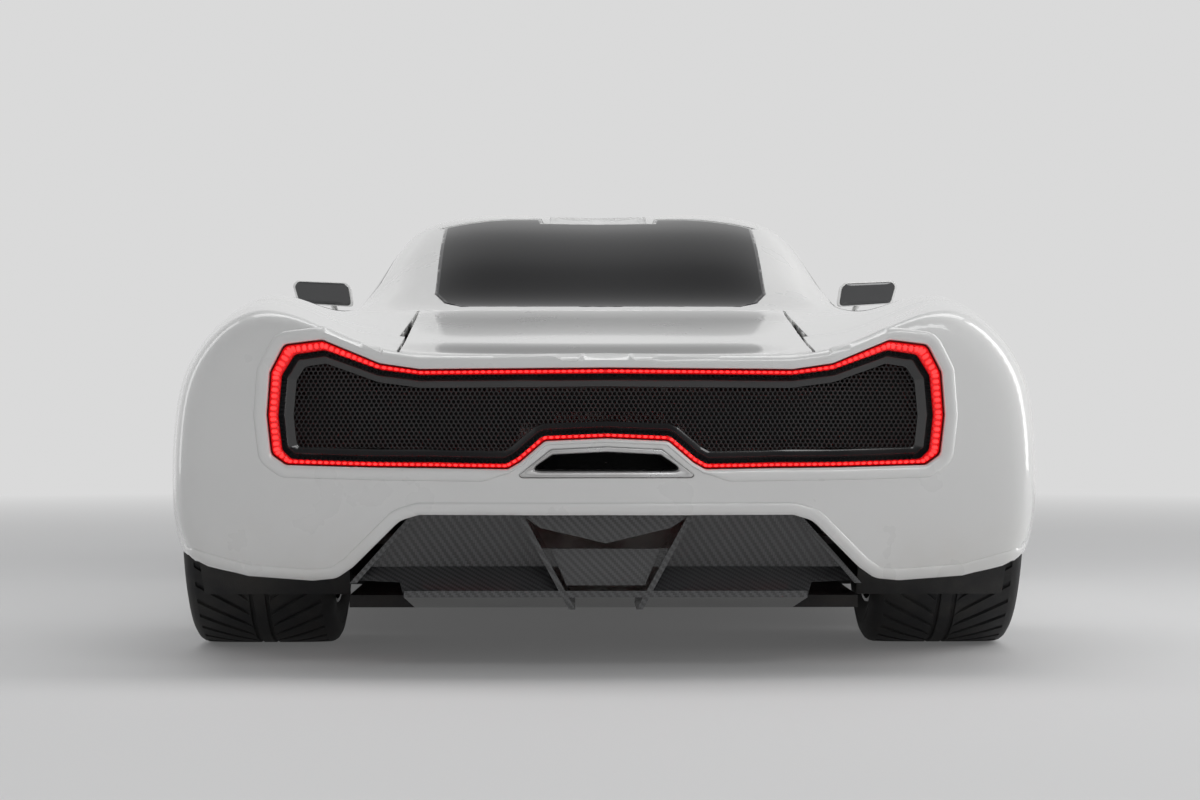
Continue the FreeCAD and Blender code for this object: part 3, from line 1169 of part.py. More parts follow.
def running_gear():
    """Arms, uprights and arch liners on both sides."""
    front_arms = make_front_arms()
    front_liner = make_liner(FRONT_ARCH_RADIUS, FRONT_AXLE, FRONT_TYRE_RADIUS, FRONT_LINER_X)
    rear_liner = make_liner(REAR_ARCH_RADIUS, REAR_AXLE, REAR_TYRE_RADIUS, REAR_FLOOR_HALF_WIDTH)
    return {
        "front_arms": Part.makeCompound(front_arms + [mirrored(arm) for arm in front_arms]),
        "rear_uprights": both(make_rear_upright()),
        "front_liners": both(front_liner),
        "rear_liners": both(rear_liner),
    }


def side_pieces():
    """Every piece that has a twin of its own on the other side, made for the right side."""
    return {
        "quarter": make_quarter(PANEL_SHELL),
        "front_fender": make_front_fender(PANEL_SHELL).cut(headlamp_room()),
        "door": make_door(DOOR_SHELL),
        "window": make_side_glass(GLASS_SHELL),
        "mirror": make_mirror(),
        "knuckle": make_knuckle(),
        "half_shaft": make_half_shaft(),
        "front_tyre": make_tyre(FRONT_WHEEL_X, FRONT_AXLE, FRONT_TYRE_RADIUS, FRONT_TYRE_WIDTH),
        "front_rim": make_rim(FRONT_WHEEL_X, FRONT_AXLE, FRONT_TYRE_RADIUS, FRONT_TYRE_WIDTH),
        "rear_tyre": make_tyre(REAR_WHEEL_X, REAR_AXLE, REAR_TYRE_RADIUS, REAR_TYRE_WIDTH),
        "rear_rim": make_rim(REAR_WHEEL_X, REAR_AXLE, REAR_TYRE_RADIUS, REAR_TYRE_WIDTH),
    }


def all_pieces():
    """Every piece of the car under its name."""
    pieces = {**cabin_pieces(), **tail_pieces(), **nose_pieces(), **running_gear()}
    for name, shape in side_pieces().items():
        pieces[name + "_right"] = shape
        pieces[name + "_left"] = mirrored(shape)
    return pieces


TAIL_START = -HALF_LENGTH - OVERRUN
TAIL_END = -HALF_LENGTH + TAIL_BOW + 2 * BUMPER_WALL
NOSE_START = along(FRONT_SEAM_SHARE) + OVERRUN
NOSE_END = HALF_LENGTH + OVERRUN
STEERING_CENTRE = vec(across(STEERING_SHARES[1]), along(STEERING_SHARES[0]), cabin_up(STEERING_SHARES[2]))
STEERING_AXIS = vec(0, -math.cos(math.radians(STEERING_TILT)), math.sin(math.radians(STEERING_TILT)))

# The outer form, drawn in by each wall, and the shells between them
OUTER = skin_solid(0.0)
PANEL_INNER = skin_solid(PANEL_WALL, INNER_COLUMNS)
BUMPER_INNER = skin_solid(BUMPER_WALL, INNER_COLUMNS)
MESH_FRONT = skin_solid(BUMPER_WALL + SEAT_GAP, INNER_COLUMNS)
MESH_INNER = skin_solid(BUMPER_WALL + SEAT_GAP + MESH_WALL, INNER_COLUMNS)
RING_FRONT = skin_solid(RING_SET)
DOOR_STAND = skin_solid(-SEAT_GAP)
PANEL_SHELL = OUTER.cut(PANEL_INNER)
BUMPER_SHELL = OUTER.cut(BUMPER_INNER)
DOOR_SHELL = OUTER.cut(skin_solid(DOOR_WALL, INNER_COLUMNS))
GLASS_SHELL = OUTER.cut(skin_solid(GLASS_WALL))

os.makedirs("parts", exist_ok=True)
PARTS = all_pieces()
for node, shape in PARTS.items():
    shape.exportStep("parts/" + node + ".step")
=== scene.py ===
"""Dressed model of a mid-engine supercar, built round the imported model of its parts.

Every length is in metres. The car stands on the ground, points along +Y and has its right side at +X.
"""

import json
import logging
from dataclasses import dataclass
from enum import Enum
from math import acos, atan2, copysign, cos, exp, hypot, pi, radians, sin, sqrt, tan, tau

import bmesh
import bpy
import numpy as np
from mathutils import Matrix, Vector
from mathutils.bvhtree import BVHTree

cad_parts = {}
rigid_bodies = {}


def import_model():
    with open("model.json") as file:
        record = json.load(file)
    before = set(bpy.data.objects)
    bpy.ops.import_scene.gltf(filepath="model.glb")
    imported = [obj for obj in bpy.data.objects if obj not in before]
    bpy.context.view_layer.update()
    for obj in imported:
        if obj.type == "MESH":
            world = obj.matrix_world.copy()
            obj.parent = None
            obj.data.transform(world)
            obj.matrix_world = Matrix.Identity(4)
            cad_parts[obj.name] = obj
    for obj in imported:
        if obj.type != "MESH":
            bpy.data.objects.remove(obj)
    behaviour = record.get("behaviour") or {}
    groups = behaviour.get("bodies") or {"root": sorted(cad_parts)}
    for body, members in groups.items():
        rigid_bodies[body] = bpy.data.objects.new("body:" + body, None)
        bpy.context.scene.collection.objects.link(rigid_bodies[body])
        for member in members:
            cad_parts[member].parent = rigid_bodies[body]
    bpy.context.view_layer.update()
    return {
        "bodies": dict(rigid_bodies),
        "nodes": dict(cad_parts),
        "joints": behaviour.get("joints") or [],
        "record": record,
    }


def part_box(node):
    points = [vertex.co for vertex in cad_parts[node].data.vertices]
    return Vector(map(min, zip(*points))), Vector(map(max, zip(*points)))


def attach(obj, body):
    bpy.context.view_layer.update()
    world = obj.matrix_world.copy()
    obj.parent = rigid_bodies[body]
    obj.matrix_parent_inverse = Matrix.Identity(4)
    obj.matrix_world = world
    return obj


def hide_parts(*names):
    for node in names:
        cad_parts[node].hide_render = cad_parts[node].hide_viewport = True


LOG = logging.getLogger("supercar")
Point = tuple[float, float, float]
Flat = tuple[float, float]
Array = np.ndarray
Piece = bpy.types.Object
Socket = bpy.types.NodeSocket
SMOOTH_DEGREES = 38.0
BODY_MIDDLE = (0.0, 0.0, .35)
STEP_LIMIT = .3

# Sections of the body from tail to nose, as (place along, [(across, up), ...]) in shares of the
# half width and of the height. Along the car -1 is the tail, 0 the rear axle, 1 the front axle
# and 2 the nose.
SECTION_SHARES: list[tuple[float, list[Flat]]] = [
    (-.872, [(0, .603), (.203, .603), (.386, .605), (.497, .615), (.568, .64), (.634, .669),
    (.7, .691), (.771, .695), (.848, .659), (.906, .59), (.929, .52), (.939, .414), (.939, .308),
    (.919, .225), (.853, .16)]),
    (0, [(0, .691), (.203, .692), (.396, .691), (.528, .69), (.609, .697), (.675, .715),
    (.736, .739), (.807, .75), (.883, .71), (.976, .608), (1.005, .533), (1.019, .423),
    (1.017, .299), (1, .194), (.964, .132)]),
    (.093, [(0, .718), (.203, .718), (.396, .718), (.518, .718), (.609, .715), (.675, .718),
    (.736, .732), (.812, .744), (.885, .71), (.971, .612), (1, .541), (1.013, .427), (1.007, .299),
    (.99, .194), (.959, .118)]),
    (.222, [(0, .832), (.203, .836), (.376, .838), (.492, .814), (.584, .757), (.67, .718),
    (.741, .71), (.817, .715), (.883, .686), (.949, .616), (.974, .545), (.983, .431),
    (.974, .308), (.974, .194), (.954, .105)]),
    (.352, [(0, .937), (.203, .944), (.376, .944), (.513, .916), (.599, .819), (.68, .731),
    (.751, .691), (.827, .682), (.883, .661), (.929, .608), (.949, .537), (.939, .431),
    (.934, .317), (.959, .202), (.954, .101)]),
    (.5, [(0, 1.004), (.203, 1.012), (.376, 1.014), (.523, .981), (.609, .871), (.69, .753),
    (.756, .695), (.827, .673), (.881, .647), (.919, .598), (.934, .528), (.919, .431),
    (.919, .322), (.954, .211), (.954, .101)]),
    (.611, [(0, .984), (.203, .981), (.376, .973), (.518, .937), (.609, .845), (.695, .748),
    (.761, .693), (.827, .669), (.881, .644), (.919, .596), (.934, .528), (.919, .431),
    (.919, .322), (.954, .211), (.954, .101)]),
    (.741, [(0, .845), (.203, .84), (.376, .827), (.518, .796), (.614, .753), (.7, .709),
    (.766, .682), (.832, .667), (.888, .642), (.929, .594), (.946, .528), (.936, .431),
    (.934, .322), (.959, .215), (.954, .101)]),
    (.863, [(0, .715), (.203, .712), (.386, .703), (.528, .688), (.619, .678), (.7, .676),
    (.761, .682), (.832, .685), (.898, .656), (.952, .598), (.976, .528), (.983, .431),
    (.979, .322), (.974, .207), (.954, .101)]),
    (1, [(0, .638), (.203, .635), (.396, .627), (.528, .623), (.599, .635), (.66, .664),
    (.731, .692), (.812, .707), (.898, .674), (.959, .59), (.99, .52), (1, .423), (1, .317),
    (.985, .207), (.959, .114)]),
    (1.417, [(0, .564), (.203, .56), (.396, .547), (.538, .537), (.624, .539), (.69, .554),
    (.746, .577), (.807, .583), (.873, .552), (.929, .493), (.959, .431), (.969, .36), (.969, .29),
    (.959, .211), (.939, .132)]),
    (1.729, [(0, .48), (.203, .476), (.386, .463), (.518, .449), (.599, .447), (.66, .451),
    (.71, .456), (.761, .45), (.812, .423), (.858, .374), (.883, .33), (.893, .286), (.893, .238),
    (.883, .185), (.863, .132)]),
]
ROW_SHARES = [-.175 * k for k in range(4, 0, -1)] + [k / 18 for k in range(19)] + [1 + .164 * k for k in range(1, 5)]
END_RING_SHARES = [.99, .9, .72, .5, .3]
TAIL_ROUND_SHARES = [.14, .14, .14, .14, .16, .24, .44, .66, .9, 1, 1, 1, .95, .8, .6, .5]
TAIL_RAKE_SHARES = [(.158, 1), (.264, .31), (.396, 0), (.608, .2), (.748, .57)]
NOSE_RAKE_SHARES = [(.105, .29), (.264, 0), (.37, .07), (.484, .43), (.616, 1)]
FACET_ROWS = [0, 1, 3, 4, 5] + list(range(6, 33, 2)) + [33, 34, 36, 38]
FACET_COLUMNS = [0, 3, 5, 6, 7, 8, 9, 10, 11, 12, 13, 15]
# Where the smooth skin is drawn in to the car's own box: (axis, way, start, end, amount).
DRAWN_IN: list[tuple[int, int, float, float, float]] = [
    (2, 1, 1.04, 1.146, .0122), (1, 1, 2.12, 2.254, .007), (0, 1, .94, 1.0015, .0016),
    (0, -1, .94, 1.0015, .0016)]


@dataclass(frozen=True)
class CarSizes:
    """Main sizes of the car, as the parts have them."""

    rear_overhang: float = .86
    wheelbase: float = 2.7
    front_overhang: float = .96
    width: float = 2.0
    height: float = 1.136
    skin_base: float = .06
    tail_round: float = .1
    tail_bow: float = .116
    tail_rake: float = .07
    nose_round: float = .12
    nose_bow: float = .3
    nose_rake: float = .14

    @property
    def half_width(self) -> float:
        """Half the width of the body."""
        return self.width / 2

    @property
    def half_length(self) -> float:
        """Half the length of the body."""
        return (self.rear_overhang + self.wheelbase + self.front_overhang) / 2

    @property
    def rear_axle(self) -> float:
        """Place of the rear axle along the car."""
        return self.rear_overhang - self.half_length

    @property
    def front_axle(self) -> float:
        """Place of the front axle along the car."""
        return self.rear_axle + self.wheelbase

    def along(self, share: float) -> float:
        """Place along the car.

        Args:
            share: -1 at the tail, 0 at the rear axle, 1 at the front axle, 2 at the nose.

        Returns:
            The place on the Y axis.
        """
        if share < 0:
            return self.rear_axle + share * self.rear_overhang
        if share <= 1:
            return self.rear_axle + share * self.wheelbase
        return self.front_axle + (share - 1) * self.front_overhang


CAR = CarSizes()


def smooth_value(xs: Array, ys: Array, x: float) -> float:
    """Value at x of a smooth curve through points, with no overshoot.

    Args:
        xs: Places of the points, rising.
        ys: Values at the points.
        x: The place asked for.

    Returns:
        The value there.
    """
    steps = np.diff(xs)
    rises = np.diff(ys) / steps
    slopes = np.concatenate([rises[:1], np.zeros(len(xs) - 2), rises[-1:]])
    for k in range(1, len(xs) - 1):
        if rises[k - 1] * rises[k] > 0:
            a = 2 * steps[k] + steps[k - 1]
            b = steps[k] + 2 * steps[k - 1]
            slopes[k] = (a + b) / (a / rises[k - 1] + b / rises[k])
    if x <= xs[0]:
        return float(ys[0] + slopes[0] * (x - xs[0]))
    if x >= xs[-1]:
        return float(ys[-1] + slopes[-1] * (x - xs[-1]))
    k = int(np.searchsorted(xs, x, side="right")) - 1
    t = (x - xs[k]) / steps[k]
    return float((2 * t ** 3 - 3 * t ** 2 + 1) * ys[k] + (t ** 3 - 2 * t ** 2 + t) * steps[k] * slopes[k]
        + (3 * t ** 2 - 2 * t ** 3) * ys[k + 1] + (t ** 3 - t ** 2) * steps[k] * slopes[k + 1])


def shares_of(offsets: Array, first: Array, second: Array, least: float) -> tuple[Array, Array]:
    """Shares of two directions that come nearest to each offset.

    Args:
        offsets: The offsets.
        first: One direction for each.
        second: The other direction.
        least: Smallest size that is divided by, where the two run side by side.

    Returns:
        The shares of the first and of the second direction.
    """
    aa, ab, bb = [(p * q).sum(1) for p, q in ((first, first), (first, second), (second, second))]
    ra, rb = (offsets * first).sum(1), (offsets * second).sum(1)
    size = np.maximum(aa * bb - ab * ab, least)
    return (bb * ra - ab * rb) / size, (aa * rb - ab * ra) / size


class Skin:
    """Smooth outer form of the body: one net of poles from tail to nose, and its flat facets."""

    def __init__(self, sizes: CarSizes) -> None:
        """Make the net and the facets of a car of these sizes."""
        self.sizes = sizes
        self.net = np.array(self._poles())
        self.knots = [np.concatenate([[0.0] * 3, np.arange(n - 2), [n - 3.0] * 3]) for n in self.net.shape[:2]]
        self._make_facets()

    def _section(self, y: float) -> list[Flat]:
        """Half section of the body at one place along it."""
        places = np.array([self.sizes.along(s) for s, _ in SECTION_SHARES])
        table = np.array([points for _, points in SECTION_SHARES])
        table = table * [self.sizes.half_width, self.sizes.height]
        half = [(smooth_value(places, table[:, i, 0], y), smooth_value(places, table[:, i, 1], y))
            for i in range(table.shape[1])]
        return half + [(half[-1][0], self.sizes.skin_base)]

    def _rake(self, shares: list[Flat], amount: float, z: float) -> float:
        """How far an end face leans back at a height."""
        heights, leans = np.array(shares).T
        return smooth_value(heights * self.sizes.height, leans * amount, z)

    def tail_y(self, x: float, z: float) -> float:
        """Place of the rear face at one point across and up."""
        rake = self._rake(TAIL_RAKE_SHARES, self.sizes.tail_rake, z)
        return -self.sizes.half_length + self.sizes.tail_bow * (x / self.sizes.half_width) ** 2 + rake

    def nose_y(self, x: float, z: float) -> float:
        """Place of the front face at one point across and up."""
        rake = self._rake(NOSE_RAKE_SHARES, self.sizes.nose_rake, z)
        return self.sizes.half_length - self.sizes.nose_bow * (x / self.sizes.half_width) ** 2 - rake

    def _poles(self) -> list[list[Point]]:
        """Net of poles, one row for each place along the car."""
        base = self.sizes.skin_base
        tail = self._section(self.sizes.along(SECTION_SHARES[0][0]))
        nose = self._section(self.sizes.along(SECTION_SHARES[-1][0]))

        def rings(section: list[Flat], face: object) -> list[list[Point]]:
            """Rings of poles that close one end."""
            made = []
            for share in END_RING_SHARES:
                ring = [(x * share, base + (z - base) * share) for x, z in section]
                made.append([(x, face(x, z), z) for x, z in ring])
            flat = made[-1][0][1]
            made[-1] = [(x, flat, z) for x, _, z in made[-1]]
            return made

        rows = rings(tail, self.tail_y)[::-1]
        rows.append([(x, self.tail_y(x, z) + TAIL_ROUND_SHARES[i] * self.sizes.tail_round, z)
            for i, (x, z) in enumerate(tail)])
        for share in ROW_SHARES:
            y = self.sizes.along(share)
            rows.append([(x, y, z) for x, z in self._section(y)])
        rows.append([(x, self.nose_y(x, z) - self.sizes.nose_round, z) for x, z in nose])
        rows += rings(nose, self.nose_y)
        return [[(-x, y, z) for x, y, z in row[:0:-1]] + row for row in rows]

    def _weights(self, axis: int, t: Array) -> tuple[Array, Array, Array]:
        """Weights of the four poles near each parameter.

        Args:
            axis: 0 along the rows, 1 along the columns.
            t: Parameters.

        Returns:
            The first pole's number, the weights, and the weights of the slope.
        """
        knots = self.knots[axis]
        count = self.net.shape[axis]
        t = np.clip(t, 0.0, count - 3 - 1e-9)
        span = np.floor(t).astype(int) + 3
        left = [t - knots[span + 1 - j] for j in range(4)]
        right = [knots[span + j] - t for j in range(4)]
        ladder = [np.ones_like(t)]
        lower = ladder
        for j in range(1, 4):
            lower = ladder
            saved = np.zeros_like(t)
            fresh = []
            for r in range(j):
                part = ladder[r] / (right[r + 1] + left[j - r])
                fresh.append(saved + right[r + 1] * part)
                saved = left[j - r] * part
            ladder = fresh + [saved]
        slope = [np.zeros_like(t) for _ in range(4)]
        for r in range(3):
            reach = knots[span + 1 + r] - knots[span - 2 + r]
            slope[r] = slope[r] - 3 * lower[r] / reach
            slope[r + 1] = slope[r + 1] + 3 * lower[r] / reach
        return span - 3, np.stack(ladder, 1), np.stack(slope, 1)

    def surface(self, u: Array, v: Array) -> tuple[Array, Array, Array]:
        """Points of the surface and its two slopes at each pair of parameters."""
        first_u, weight_u, slope_u = self._weights(0, u)
        first_v, weight_v, slope_v = self._weights(1, v)
        steps = np.arange(4)
        poles = self.net[(first_u[:, None] + steps)[:, :, None], (first_v[:, None] + steps)[:, None, :]]
        return (np.einsum("ni,nj,nijk->nk", weight_u, weight_v, poles),
            np.einsum("ni,nj,nijk->nk", slope_u, weight_v, poles),
            np.einsum("ni,nj,nijk->nk", weight_u, slope_v, poles))

    def _pole_places(self, axis: int) -> list[float]:
        """Parameter nearest to each pole of one axis."""
        return [float(self.knots[axis][i + 1:i + 4].mean()) for i in range(self.net.shape[axis])]

    def _make_facets(self) -> None:
        """Flat facets of the body, as the parts have them, with their parameters."""
        rows = self._pole_places(0)
        columns = self._pole_places(1)
        middle = len(columns) // 2
        us = [rows[i] for i in FACET_ROWS]
        vs = [columns[middle - j] for j in reversed(FACET_COLUMNS[1:])] + [columns[middle + j] for j in FACET_COLUMNS]
        grid = np.array([[(u, v) for v in vs] for u in us])
        points = self.surface(grid[..., 0].ravel(), grid[..., 1].ravel())[0].reshape(len(us), len(vs), 3)
        places, polygons = [], []
        for i in range(len(us) - 1):
            for j in range(len(vs) - 1):
                corners = [(i, j), (i, j + 1), (i + 1, j + 1), (i + 1, j)]
                a, b, c, d = [points[k] for k in corners]
                centre = self.surface(np.array([(us[i] + us[i + 1]) / 2]), np.array([(vs[j] + vs[j + 1]) / 2]))[0][0]
                if np.linalg.norm((a + c) / 2 - centre) < np.linalg.norm((b + d) / 2 - centre):
                    chosen = [(0, 1, 2), (0, 2, 3)]
                else:
                    chosen = [(0, 1, 3), (1, 2, 3)]
                for three in chosen:
                    picked = [corners[k] for k in three]
                    polygons.append([k[0] * len(vs) + k[1] for k in picked])
                    places.append([grid[k] for k in picked])
        flat = points.reshape(-1, 3)
        self.facet_points = flat[np.array(polygons)]
        self.facet_places = np.array(places)
        self.tree = BVHTree.FromPolygons([Vector(p) for p in flat], polygons)

    def nearest_facets(self, points: Array) -> tuple[Array, Array, Array]:
        """Nearest place on the flat facets to each point.

        Args:
            points: Points near the body.

        Returns:
            The places, the facets' numbers and the distances.
        """
        found = [self.tree.find_nearest(Vector(point)) for point in points]
        return tuple(np.array([hit[k] for hit in found]) for k in (0, 2, 3))

    def settle(self, points: Array, numbers: Array) -> tuple[Array, Array]:
        """Nearest place on the smooth surface to points that lie on its facets.

        Args:
            points: Points on the facets.
            numbers: The facet of each point.

        Returns:
            The places on the smooth surface and its outward normals there.
        """
        corners = self.facet_points[numbers]
        places = self.facet_places[numbers]
        edge_a = corners[:, 1] - corners[:, 0]
        edge_b = corners[:, 2] - corners[:, 0]
        rest = points - corners[:, 0]
        s, t = shares_of(rest, edge_a, edge_b, 1e-14)
        place = places[:, 0] + s[:, None] * (places[:, 1] - places[:, 0]) + t[:, None] * (places[:, 2] - places[:, 0])
        u, v = place[:, 0], place[:, 1]
        for _ in range(4):
            spot, du, dv = self.surface(u, v)
            steps = np.clip(shares_of(points - spot, du, dv, 1e-12), -STEP_LIMIT, STEP_LIMIT)
            u, v = [np.clip(at + step, 0, count - 3 - 1e-6)
                for at, step, count in zip((u, v), steps, self.net.shape)]
        spot, du, dv = self.surface(u, v)
        normal = np.cross(dv, du)
        normal /= np.maximum(np.linalg.norm(normal, axis=1, keepdims=True), 1e-12)
        outward = np.sign((normal * (spot - BODY_MIDDLE)).sum(1))[:, None]
        return self.drawn_in(spot), normal * np.where(outward == 0, 1, outward)

    def drawn_in(self, spots: Array) -> Array:
        """Places near the skin, eased in where the smooth form would stand past the car's box."""
        eased = spots.copy()
        for axis, way, start, end, amount in DRAWN_IN:
            t = np.clip((way * spots[:, axis] - start) / (end - start), 0, 1)
            eased[:, axis] -= way * amount * t * t * (3 - 2 * t)
        return eased

    def toward_tail(self, flat: Array, depth: float) -> Array:
        """Points of the smooth tail seen from behind.

        Args:
            flat: Places across and up.
            depth: How far inside the skin the points lie.

        Returns:
            One point for each place.
        """
        return self._along_y(flat, depth, 1.0)

    def toward_nose(self, flat: Array, depth: float) -> Array:
        """Points of the smooth nose seen from the front, as toward_tail gives them for the tail."""
        return self._along_y(flat, depth, -1.0)

    def _along_y(self, flat: Array, depth: float, way: float) -> Array:
        """Points of the skin under places across and up, looking along the car."""
        start = -way * (self.sizes.half_length + 1.0)
        hits = []
        for x, z in flat:
            hit = self.tree.ray_cast(Vector((x, start, z)), Vector((0, way, 0)))
            hits.append(hit if hit[0] else self.tree.find_nearest(Vector((x, start + way, z))))
        goal = np.array([hit[0] for hit in hits]).reshape(-1, 3)
        numbers = np.array([hit[2] for hit in hits], int)
        spot, normal = self.settle(goal, numbers)
        for _ in range(3):
            goal[:, [0, 2]] += flat - spot[:, [0, 2]]
            spot, normal = self.settle(goal, numbers)
        return spot - normal * depth


class Side(Enum):
    """Left or right side of the car."""

    LEFT = -1
    RIGHT = 1

    @property
    def word(self) -> str:
        """Name of the side, as node names end."""
        return self.name.lower()


def link(obj: Piece) -> Piece:
    """Put an object in the scene and hand it back."""
    bpy.context.scene.collection.objects.link(obj)
    return obj


def mesh_object(name: str, points: Array | list[Point], faces: list[tuple[int, ...]]) -> Piece:
    """Make an object from points and faces.

    Args:
        name: Name of the piece.
        points: Its corners.
        faces: Corner numbers of each face.

    Returns:
        The new object, in the scene.
    """
    mesh = bpy.data.meshes.new(name)
    mesh.from_pydata([tuple(map(float, p)) for p in points], [], [tuple(int(k) for k in f) for f in faces])
    mesh.update()
    return link(bpy.data.objects.new(name, mesh))


def smooth_by_angle(obj: Piece, degrees: float) -> None:
    """Shade a mesh smooth, with sharp edges where faces turn by more than an angle."""
    for polygon in obj.data.polygons:
        polygon.use_smooth = True
    obj.data.set_sharp_from_angle(angle=radians(degrees))


def rounded_box_edges(obj: Piece, width: float, segments: int = 2, degrees: float = 35.0) -> None:
    """Round the sharp edges of a mesh with a bevel modifier."""
    bevel = obj.modifiers.new("edges", "BEVEL")
    bevel.width = width
    bevel.segments = segments
    bevel.limit_method = "ANGLE"
    bevel.angle_limit = radians(degrees)
    bevel.harden_normals = False


def mirrored_outline(half: list[Flat]) -> Array:
    """Corners of a closed outline seen along the car, from its right half in shares.

    Args:
        half: Corners from the top middle round to the bottom middle.

    Returns:
        Places across and up, one row for each corner.
    """
    whole = half + [(-x, z) for x, z in reversed(half) if x > 0]
    return np.array(whole) * [CAR.half_width, CAR.height]


def grown_corners(corners: Array, amount: float) -> Array:
    """Corners of an outline grown outwards by an amount, or drawn in where it is below zero."""
    after = np.roll(corners, -1, axis=0)
    area = (corners[:, 0] * after[:, 1] - after[:, 0] * corners[:, 1]).sum()
    ways = after - corners
    ways /= np.linalg.norm(ways, axis=1, keepdims=True)
    normals = np.stack([ways[:, 1], -ways[:, 0]], 1) * np.sign(area)
    before = np.roll(normals, 1, axis=0)
    return corners + amount * (normals + before) / (1 + (normals * before).sum(1, keepdims=True))


def rounded_outline(corners: Array, radius: float, step: float) -> Array:
    """Closed outline with rounded corners, as evenly spaced points.

    Args:
        corners: Its corners.
        radius: Radius of its corners.
        step: Distance between the points.

    Returns:
        The points.
    """
    points = []
    for k, corner in enumerate(corners):
        back = corners[k - 1] - corner
        ahead = corners[(k + 1) % len(corners)] - corner
        lengths = np.linalg.norm(back), np.linalg.norm(ahead)
        back, ahead = back / lengths[0], ahead / lengths[1]
        turn = pi - acos(float(np.clip(back @ ahead, -1, 1)))
        reach = min(radius * tan(turn / 2), .45 * lengths[0], .45 * lengths[1])
        for t in np.linspace(0, 1, 9):
            points.append(corner + reach * ((1 - t) ** 2 * back + t * t * ahead))
    closed = np.array(points + points[:1])
    places = np.concatenate([[0], np.cumsum(np.linalg.norm(np.diff(closed, axis=0), axis=1))])
    wanted = np.linspace(0, places[-1], max(round(places[-1] / step), 8) + 1)[:-1]
    return np.stack([np.interp(wanted, places, closed[:, i]) for i in (0, 1)], 1)


def unit_rows(ways: Array) -> Array:
    """Directions, each brought to a length of 1."""
    return ways / np.maximum(np.linalg.norm(ways, axis=1, keepdims=True), 1e-9)


def partners(points: Array, others: Array) -> Array:
    """The nearest of some other points to each point."""
    gaps = ((points[:, None] - others[None]) ** 2).sum(2)
    return others[gaps.argmin(1)]


def inside_outline(points: Array, outline: Array) -> Array:
    """Whether each point lies inside a closed outline."""
    after = np.roll(outline, -1, axis=0)
    x, z = points[:, :1], points[:, 1:]
    crosses = (outline[:, 1] > z) != (after[:, 1] > z)
    rise = after[:, 1] - outline[:, 1]
    rise = np.where(np.abs(rise) < 1e-12, 1e-12, rise)
    edge_x = outline[:, 0] + (z - outline[:, 1]) / rise * (after[:, 0] - outline[:, 0])
    return (crosses & (x < edge_x)).sum(1) % 2 == 1


def rows_mesh(name: str, rows: list[Array], closed: bool = True, caps: bool = False, flip: bool = False) -> Piece:
    """Mesh that joins rows of points, each row with the same number.

    Args:
        name: Name of the piece.
        rows: The rows.
        closed: Whether each row runs back to its start.
        caps: Whether the first and last rows are filled.
        flip: Whether the faces look the other way.

    Returns:
        The new object.
    """
    count = len(rows[0])
    faces = []
    for r in range(len(rows) - 1):
        for k in range(count if closed else count - 1):
            a, b = r * count + k, r * count + (k + 1) % count
            faces.append((a, b, b + count, a + count))
    if caps:
        faces.append(tuple(range(count))[::-1])
        last = (len(rows) - 1) * count
        faces.append(tuple(range(last, last + count)))
    if flip:
        faces = [f[::-1] for f in faces]
    obj = mesh_object(name, np.concatenate(rows), faces)
    smooth_by_angle(obj, SMOOTH_DEGREES)
    return obj


def drawn_row(row: Array, share: float) -> Array:
    """A row of points drawn in towards its own middle."""
    middle = row.mean(0)
    return middle + (row - middle) * share


def upright(flat: Array, y: float | Array) -> Array:
    """Places across and up, set at a place along the car."""
    return np.stack([flat[:, 0], y + np.zeros(len(flat)), flat[:, 1]], 1)


def joined(name: str, pieces: list[Piece]) -> Piece:
    """One object from several meshes, with their smooth shading kept."""
    bm = bmesh.new()
    for piece in pieces:
        bm.from_mesh(piece.data)
        mesh = piece.data
        bpy.data.objects.remove(piece)
        bpy.data.meshes.remove(mesh)
    mesh = bpy.data.meshes.new(name)
    bm.to_mesh(mesh)
    bm.free()
    return link(bpy.data.objects.new(name, mesh))


def band(name: str, outer: Array, inner: Array, profile: list[Flat], toward: object, flip: bool = True) -> Piece:
    """Band between two outlines on one end of the car.

    Args:
        name: Name of the piece.
        outer: Points of the outer outline.
        inner: The partner of each on the inner outline.
        profile: Lines of the band, as (share from outer to inner, depth inside the skin).
        toward: Function that sets places across and up at a depth inside the skin.
        flip: Whether the faces look to the tail.

    Returns:
        The new object.
    """
    rows = [toward(outer * (1 - share) + inner * share, depth) for share, depth in profile]
    return rows_mesh(name, rows, flip=flip)


def turns(count: int) -> Array:
    """Evenly spaced angles once round."""
    return np.linspace(0, tau, count + 1)[:-1]


